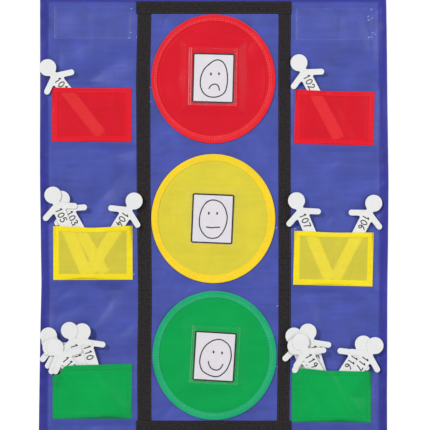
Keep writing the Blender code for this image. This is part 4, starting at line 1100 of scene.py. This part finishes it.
def make_pocket(name, material):
    """A pocket's hemmed front, and the lines it is sewn along: its sides and foot, and its mouth hem."""
    pitch, edge_in, edge_round = 0.0017, 0.0008, 0.0003
    low, near_top, near_side, hem_seam, seam_points = 0.003, 0.002, 0.005, 0.0012, 90
    side, mouth = POCKET_SIDE_HEM, POCKET_HEIGHT - POCKET_MOUTH_HEM
    marks = [edge_in, POCKET_SEAM, side, side + HEM_TAPER]
    columns = steps(0, POCKET_WIDTH, pitch, marks + [POCKET_WIDTH - m for m in marks])
    rows = steps(0, POCKET_HEIGHT, pitch, marks + [mouth - HEM_TAPER, mouth, POCKET_HEIGHT - edge_in])
    along, row = np.meshgrid(columns, rows)
    near = pocket_points(name, along, row)
    edge = np.minimum(np.minimum(along, POCKET_WIDTH - along), row)
    folded = np.maximum(1 - ease(edge, side, side + HEM_TAPER), ease(row, mouth - HEM_TAPER, mouth))
    thick = CLOTH + (POCKET_HEM_CLOTH - CLOTH) * folded
    rounding = edge_round * (1 - ease(np.minimum(edge, POCKET_HEIGHT - row), 0, edge_in))
    front = near - joined(0 * thick, thick - rounding, 0 * thick)
    inner = np.where(folded > 0.5, 0.0, 1 - folded * 0.5)
    item = shell("pocket_cloth_" + name, front, near, material,
                 {"folded": (folded, folded), "inner": (0 * folded, inner)})
    far, top, hem = POCKET_WIDTH - POCKET_SEAM, POCKET_HEIGHT - near_top, mouth + hem_seam
    path = ((POCKET_SEAM, low, POCKET_SEAM, top), (far, low, far, top),
            (low, POCKET_SEAM, POCKET_WIDTH - low, POCKET_SEAM),
            (near_side, hem, POCKET_WIDTH - near_side, hem))
    in_front = np.array([0, POCKET_HEM_CLOTH, 0])
    return item, sewn_lines(path, seam_points,
                            lambda along, row: pocket_points(name, along, row) - in_front)


def arc(centre, radius, start, end, count):
    """Points along an arc, between two angles in degrees."""
    angles = np.radians(np.linspace(start, end, count + 1))
    return [np.array([centre[0] + radius * math.cos(t), centre[1] + radius * math.sin(t)]) for t in angles]


def figure_outline():
    """A flat figure's outline, foot at the origin: round head, drooping arms, straight body."""
    head = np.array([0, FIGURE_LENGTH - HEAD_RADIUS])
    droop = math.radians(ARM_DROOP)
    outward = np.array([math.cos(droop), -math.sin(droop)])
    upward = np.array([math.sin(droop), math.cos(droop)])
    tip = head + np.array([ARM_REACH, -ARM_DROP])
    reach = HEAD_RADIUS + NECK_FILLET
    height = float(np.dot(tip + upward * ARM_RADIUS - head, upward)) + NECK_FILLET
    neck = head + upward * height + outward * math.sqrt(reach**2 - height**2)
    to_head = math.degrees(math.atan2(head[1] - neck[1], head[0] - neck[0]))
    half = arc(head, HEAD_RADIUS, 90, to_head - 180, count=24)
    half += arc(neck, NECK_FILLET, to_head, 270 - ARM_DROOP, count=6)[1:]
    half += arc(tip, ARM_RADIUS, 90 - ARM_DROOP, -90 - ARM_DROOP, count=12)
    under = tip - upward * ARM_RADIUS
    corner = under + outward * ((BODY_HALF - under[0]) / outward[0])
    setback = ARMPIT_FILLET / math.tan((math.pi / 2 - droop) / 2)
    armpit = (BODY_HALF + ARMPIT_FILLET, corner[1] - setback)
    half += arc(armpit, ARMPIT_FILLET, 90 - ARM_DROOP, 180, count=6)
    half += arc((BODY_HALF - FOOT_CORNER, FOOT_CORNER), FOOT_CORNER, 0, -90, count=6)
    mirrored = [np.array([-p[0], p[1]]) for p in reversed(half[1:])]
    return (half + mirrored)[::-1]


def figures_in(pocket):
    """The nodes of the figures that stand in a pocket, rearmost first."""
    count = POCKETS[pocket][2]
    return ["figure_" + pocket] if count == 1 else ["figure_%s_%d" % (pocket, i + 1) for i in range(count)]


def number_strokes(number):
    """A plain number written down a figure's body from its shoulders, its top to the right."""
    strokes = []
    for place, numeral in enumerate(str(number)):
        start = FIGURE_LENGTH - SHOULDER_DROP - place * NUMERAL_PITCH
        wander = NUMERAL_WANDER * math.sin(number + place)
        for line in NUMERALS[numeral]:
            line = np.array(line) / 100
            points = smooth_line(line) if len(line) > 2 else line
            x, z = (points[:, 1] - 0.5) * NUMERAL_HEIGHT + wander, start - points[:, 0] * NUMERAL_HEIGHT
            strokes.append(stroke(np.stack([x, z], axis=1), NUMBER_PEN, -FIGURE_BOARD))
    return strokes


def make_figures(board, ink):
    """The die-cut white figures, numbered in the order of their pockets."""
    plate = bevelled_plate(figure_outline(), FIGURE_BOARD, FIGURE_BEVEL)
    nodes = [node for pocket in POCKETS for node in figures_in(pocket)]
    for number, node in enumerate(nodes, FIRST_NUMBER):
        strokes = number_strokes(number)
        item = drawn_card("paper_" + node, plate_frame(node, True), plate, strokes, board, ink)
        stands_for(item, node, node)


def make_cards(board, ink):
    """Three white cards with a drawn border and face."""
    border_in, dot_half, dot_slant = 0.0013, 1.2, 0.1
    half_width, half_height = CARD_WIDTH / 2 - CARD_CORNER, CARD_HEIGHT / 2 - CARD_CORNER

    def rounded(inset, count):
        line = []
        for x, z, start in ((1, 1, 0), (-1, 1, 90), (-1, -1, 180), (1, -1, 270)):
            line += arc((x * half_width, z * half_height), CARD_CORNER - inset, start, start + 90, count)
        return line

    plate = bevelled_plate(rounded(0.0, count=6), CARD_BOARD, CARD_BEVEL)
    border = rounded(border_in, count=8)
    border = np.array(border + border[:2])
    for colour, (outline, eyes, mouth) in FACES.items():
        strokes = [stroke(border, BORDER_PEN, -CARD_BOARD)]
        for line in (outline, mouth):
            strokes.append(stroke(smooth_line(np.array(line) / 1000), FACE_PEN, -CARD_BOARD))
        for x, z in eyes:
            dot = np.array([(x, z + dot_half), (x + dot_slant, z), (x, z - dot_half)]) / 1000
            strokes.append(stroke(dot, EYE_PEN, -CARD_BOARD))
        node = "face_card_" + colour
        item = drawn_card("drawn_" + node, plate_frame(node, False), plate, strokes, board, ink)
        stands_for(item, node, node)


def rolled(centre_radius, centre_y, radius_reach, y_reach, start, end):
    """A rolled lip of an eyelet's profile: part of an oval between two angles, in quarter turns."""
    return [(centre_radius + radius_reach * math.cos(t), centre_y + y_reach * math.sin(t))
            for t in np.linspace(start, end, 6) * math.pi / 2]


def make_eyelets(brass, steel):
    """Rolled eyelets and their washers, with the soft crown and curled lip of the real ones."""
    washer_wall, washer_radius, washer_round = 0.0005, 0.0090, 0.0001
    crown_width, crown_height, flange_radius, lip_width, lip_height = 0.0022, 0.0010, 0.0095, 0.0006, 0.0005
    curl_width, curl_height = 0.0009, 0.0003
    front = HEM + GAP
    washer_back = front + washer_wall
    roll = washer_back + GAP
    eyelet = rolled(HOLE + crown_width, -GAP, -crown_width, -crown_height, 0, 1)
    eyelet += rolled(flange_radius - lip_width, -GAP - lip_height, lip_width, -lip_height, 1, -1)
    eyelet += [(BARREL, -GAP), (BARREL, roll)]
    eyelet += rolled(BARREL + curl_width, roll + curl_height, curl_width, curl_height, -1, 1)
    eyelet += [(HOLE, roll + 2 * curl_height)]
    bore = BARREL + GAP
    washer = [(bore, front), (bore, washer_back - washer_round), (bore + washer_round, washer_back),
              (washer_radius - washer_round, washer_back), (washer_radius, washer_back - washer_round),
              (washer_radius, front + washer_round), (washer_radius - washer_round, front)]
    sides = 56
    for side, x in EYELET_XS.items():
        stands_for(turned("rolled_eyelet_" + side, eyelet, sides, x, brass), "eyelet_" + side)
        stands_for(turned("flat_washer_" + side, washer, sides, x, steel), "eyelet_washer_" + side)


def behind(lines):
    """The same rows on the back of the panel, where the bobbin thread shows."""
    out = []
    for line in lines:
        x, z = line[:, 0], line[:, 2]
        out.append(joined(x, cloth_front(x, z) + np.where(hemmed_at(x, z), HEM, CLOTH), z))
    return out


def hem_lines():
    """The rows of stitches that hold the panel's own hems."""
    corner_in, side_sunk, level_sunk, top_edge_in = 0.004, 0.0001, 0.00005, 0.0022
    side_points, level_points = 220, 160
    z = np.linspace(LOW + corner_in, TOP - corner_in, side_points)
    x = np.linspace(-EDGE + corner_in, EDGE - corner_in, level_points)
    lines = []
    for side in (-1, 1):
        line_x = np.full(len(z), side * (EDGE - SIDE_HEM + SEAM_IN))
        lines.append(joined(line_x + edge_shift(line_x, z), cloth_front(line_x, z) + side_sunk, z))
    for height in (LOW + FOOT_HEM - SEAM_IN, TOP - TOP_HEM + SEAM_IN, TOP - top_edge_in):
        level = np.full(len(x), height)
        lines.append(joined(x, cloth_front(x, level) + level_sunk, level))
    return lines


def make_lamps(cloths, tapes, vinyl):
    """Each disc with its binding and its card window, and the lines of the bindings and the windows."""
    section, edge_tree = tape_section(), bound_edge_tree()
    ring_lines, window_lines = {}, {}
    for colour, (_, window, turn) in LAMPS.items():
        disc = make_disc(colour, cloths[colour])
        stands_for(disc, "disc_" + colour)
        tape, ring_lines[colour] = make_binding(colour, edge_tree, section, tapes[colour])
        stands_for(tape, "disc_binding_" + colour)
        sheet, window_lines[colour] = window_sheet(
            "clear_window_" + colour, sewn_frame(window, turn), CARD_WINDOW, DISC_FRONT, CARD_ROOM, CARD_LEAN,
            WINDOW_MILK_AND_HIGHLIGHT[colour], False, vinyl)
        stands_for(sheet, "card_window_" + colour)
    bpy.data.objects.remove(section, do_unlink=True)
    return ring_lines, window_lines


def build():
    """Every piece of the chart, on its body and in the place of its node."""
    # The blue's folded dye is darker than its flat dye: painted shade on the panel's doubled hems, in place
    # of the light that shows through one layer of cloth and not through two
    blue = woven_nylon("woven_blue_nylon", "#344198", "#121883", roughness=0.47, gloss=0.5, uneven=0.23)
    webbing = ribbed_webbing("woven_black_webbing", "#211d1f")
    vinyl = clear_vinyl("calendered_clear_vinyl", "#f4f6f8")
    cloths, tapes, threads, pocket_threads = {}, {}, {}, {}
    for colour, (flat, folded, clear, tint, gloss) in CLOTHS.items():
        cloths[colour] = woven_nylon("woven_%s_nylon" % colour, flat, folded, clear, tint, 0.44, gloss)
        tape_dye, thread_dye, pocket_dye = TRIMS[colour]
        tapes[colour] = woven_nylon("bias_%s_tape" % colour, tape_dye, tape_dye)
        threads[colour] = sewing_thread("pale_%s_thread" % colour, thread_dye)
        pocket_threads[colour] = sewing_thread(colour + "_thread", pocket_dye)

    panel = make_panel(blue)
    stands_for(panel, "chart_panel")
    make_eyelets(stamped_metal("rolled_brass", "#c9a45a", 0.28),
                 stamped_metal("plated_steel", "#c8c8c4", 0.33))

    strips, webbing_lines = make_webbing(webbing)
    flats = {"left": (LEFT_TAPE_WIDTH, 0.753), "right": (TAPE_WIDTH, 0.753), "top": (TAPE_WIDTH, 0.273),
             "bottom": (TAPE_WIDTH, 0.273)}
    for item, (label, flat) in zip(strips, flats.items()):
        stands_for(item, "frame_tape_" + label)

    ring_lines, window_lines = make_lamps(cloths, tapes, vinyl)
    label_lines, pocket_lines = [], {colour: [] for colour in LAMPS}
    for side, shares in LABELS.items():
        sheet, rows = window_sheet("clear_label_window_" + side, sewn_frame(shares, 0.0), LABEL_WINDOW, 0.0,
                                   LABEL_ROOM, LABEL_LEAN, WINDOW_MILK_AND_HIGHLIGHT[side], True, vinyl)
        stands_for(sheet, "label_window_" + side)
        label_lines += rows
    for name in POCKETS:
        colour = name.split("_")[1]
        pocket, rows = make_pocket(name, cloths[colour])
        stands_for(pocket, "pocket_" + name)
        pocket_lines[colour] += rows

    make_cards(coated_card("coated_white_card", "#d8d4da", 0.42), marker_ink("drawing_ink", "#151318"))
    make_figures(coated_card("die_cut_white_card", "#dedfde", 0.5), marker_ink("number_ink", "#17151a"))

    stitch, hems = stitch_tree(), hem_lines()
    blue_thread = sewing_thread("blue_thread", "#3b4296")
    pale_thread = sewing_thread("pale_blue_thread", "#6f78ba")
    black_thread = sewing_thread("black_thread", "#2c282a")
    sew("hem_stitches", stitch, hems, blue_thread, seed=3)
    sew("label_window_stitches", stitch, label_lines, pale_thread, seed=4)
    sew("webbing_stitches", stitch, webbing_lines, black_thread, seed=5)
    for number, colour in enumerate(LAMPS):
        sew(colour + "_window_stitches", stitch, window_lines[colour], threads[colour],
            seed=6 + number)
        sew(colour + "_pocket_stitches", stitch, pocket_lines[colour],
            pocket_threads[colour], seed=16 + number)
        sew(colour + "_binding_stitches", stitch, ring_lines[colour], threads[colour],
            pitch=0.0047, length=0.0032, width=0.0009, height=0.0006, seed=11 + number)
    ends, half_x, half_z, proud = [], 0.0008, 0.0006, 0.0002
    for x, z in np.array(THREAD_ENDS) / 1000:
        y = cloth_front(x, z) - proud
        ends.append(np.array([(x - half_x, y, z - half_z), (x + half_x, y, z + half_z)]))
    loose_thread = sewing_thread("loose_pale_thread", "#dde2f6")
    sew("thread_ends", stitch, ends, loose_thread, pitch=0.0011, length=0.0019, width=0.0013,
        height=0.0008, seed=2)
    sewn = hems + webbing_lines + label_lines
    for group in (window_lines, ring_lines, pocket_lines):
        for rows in group.values():
            sewn = sewn + rows
    sew("bobbin_stitches", stitch, behind(sewn), blue_thread, seed=9)


def make_stage():
    """A pale floor below the chart, a soft key lamp at the upper left, a weak fill and a plain pale world."""
    size, far, low = 4.0, 1.6, -1.0
    mesh = bpy.data.meshes.new("floor")
    mesh.from_pydata([(-size, -size, low), (size, -size, low), (size, far, low), (-size, far, low)], [],
                     [(0, 1, 2, 3)])
    material, tree, shader, place = start_material("pale_floor", 0.7)
    mottle = add(tree, "ShaderNodeTexNoise", {"Vector": place, "Scale": 3.0}, "Fac")
    tone = add(tree, "ShaderNodeMapRange", {0: mottle, 1: 0.3, 2: 0.7, 3: 0.86, 4: 0.88})
    feed(shader, {"Base Color": tone})
    mesh.materials.append(material)
    placed("floor", mesh)

    middle = Vector((0.0, 0.0, -0.39))
    for name, place, across, power in (("key_lamp", (-4.0, -5.0, 2.6), 0.6, 290.0),
                                       ("fill_lamp", (2.3, -2.4, 0.1), 1.6, 38.0)):
        data = bpy.data.lights.new(name, "AREA")
        data.shape, data.size, data.energy = "DISK", across, power
        lamp = placed(name, data)
        lamp.location = place
        lamp.rotation_euler = (middle - lamp.location).to_track_quat("-Z", "Y").to_euler()

    world = bpy.data.worlds.new("studio")
    bpy.context.scene.world = world
    world.use_nodes = True
    tree = world.node_tree
    tree.nodes.clear()
    rays = add(tree, "ShaderNodeLightPath", out=None).outputs
    seen = add(tree, "ShaderNodeMath", {0: rays["Is Camera Ray"], 1: rays["Is Glossy Ray"]},
               operation="MAXIMUM")
    shown = add(tree, "ShaderNodeMath", {0: seen, 1: rays["Is Transmission Ray"]}, operation="MAXIMUM")
    strength = add(tree, "ShaderNodeMapRange", {0: shown, 3: 0.26, 4: 1.0})
    light = add(tree, "ShaderNodeBackground", {"Color": (1, 1, 1, 1), "Strength": strength})
    add(tree, "ShaderNodeOutputWorld", {"Surface": light}, None)


def make_camera():
    """Square on to the chart from far off, as the photograph was taken."""
    distance, shown = 4.0, 0.7538
    data = bpy.data.cameras.new("camera")
    data.sensor_width = 36.0
    data.lens = data.sensor_width * distance / shown
    data.clip_end = 30.0
    camera = placed("camera", data)
    camera.location = (0.00175, -distance, -0.390)
    camera.rotation_euler = (math.pi / 2, 0, 0)
    bpy.context.scene.camera = camera


make_stage()
make_camera()
build()
bpy.context.scene.view_settings.view_transform = "Standard"
bpy.context.view_layer.update()
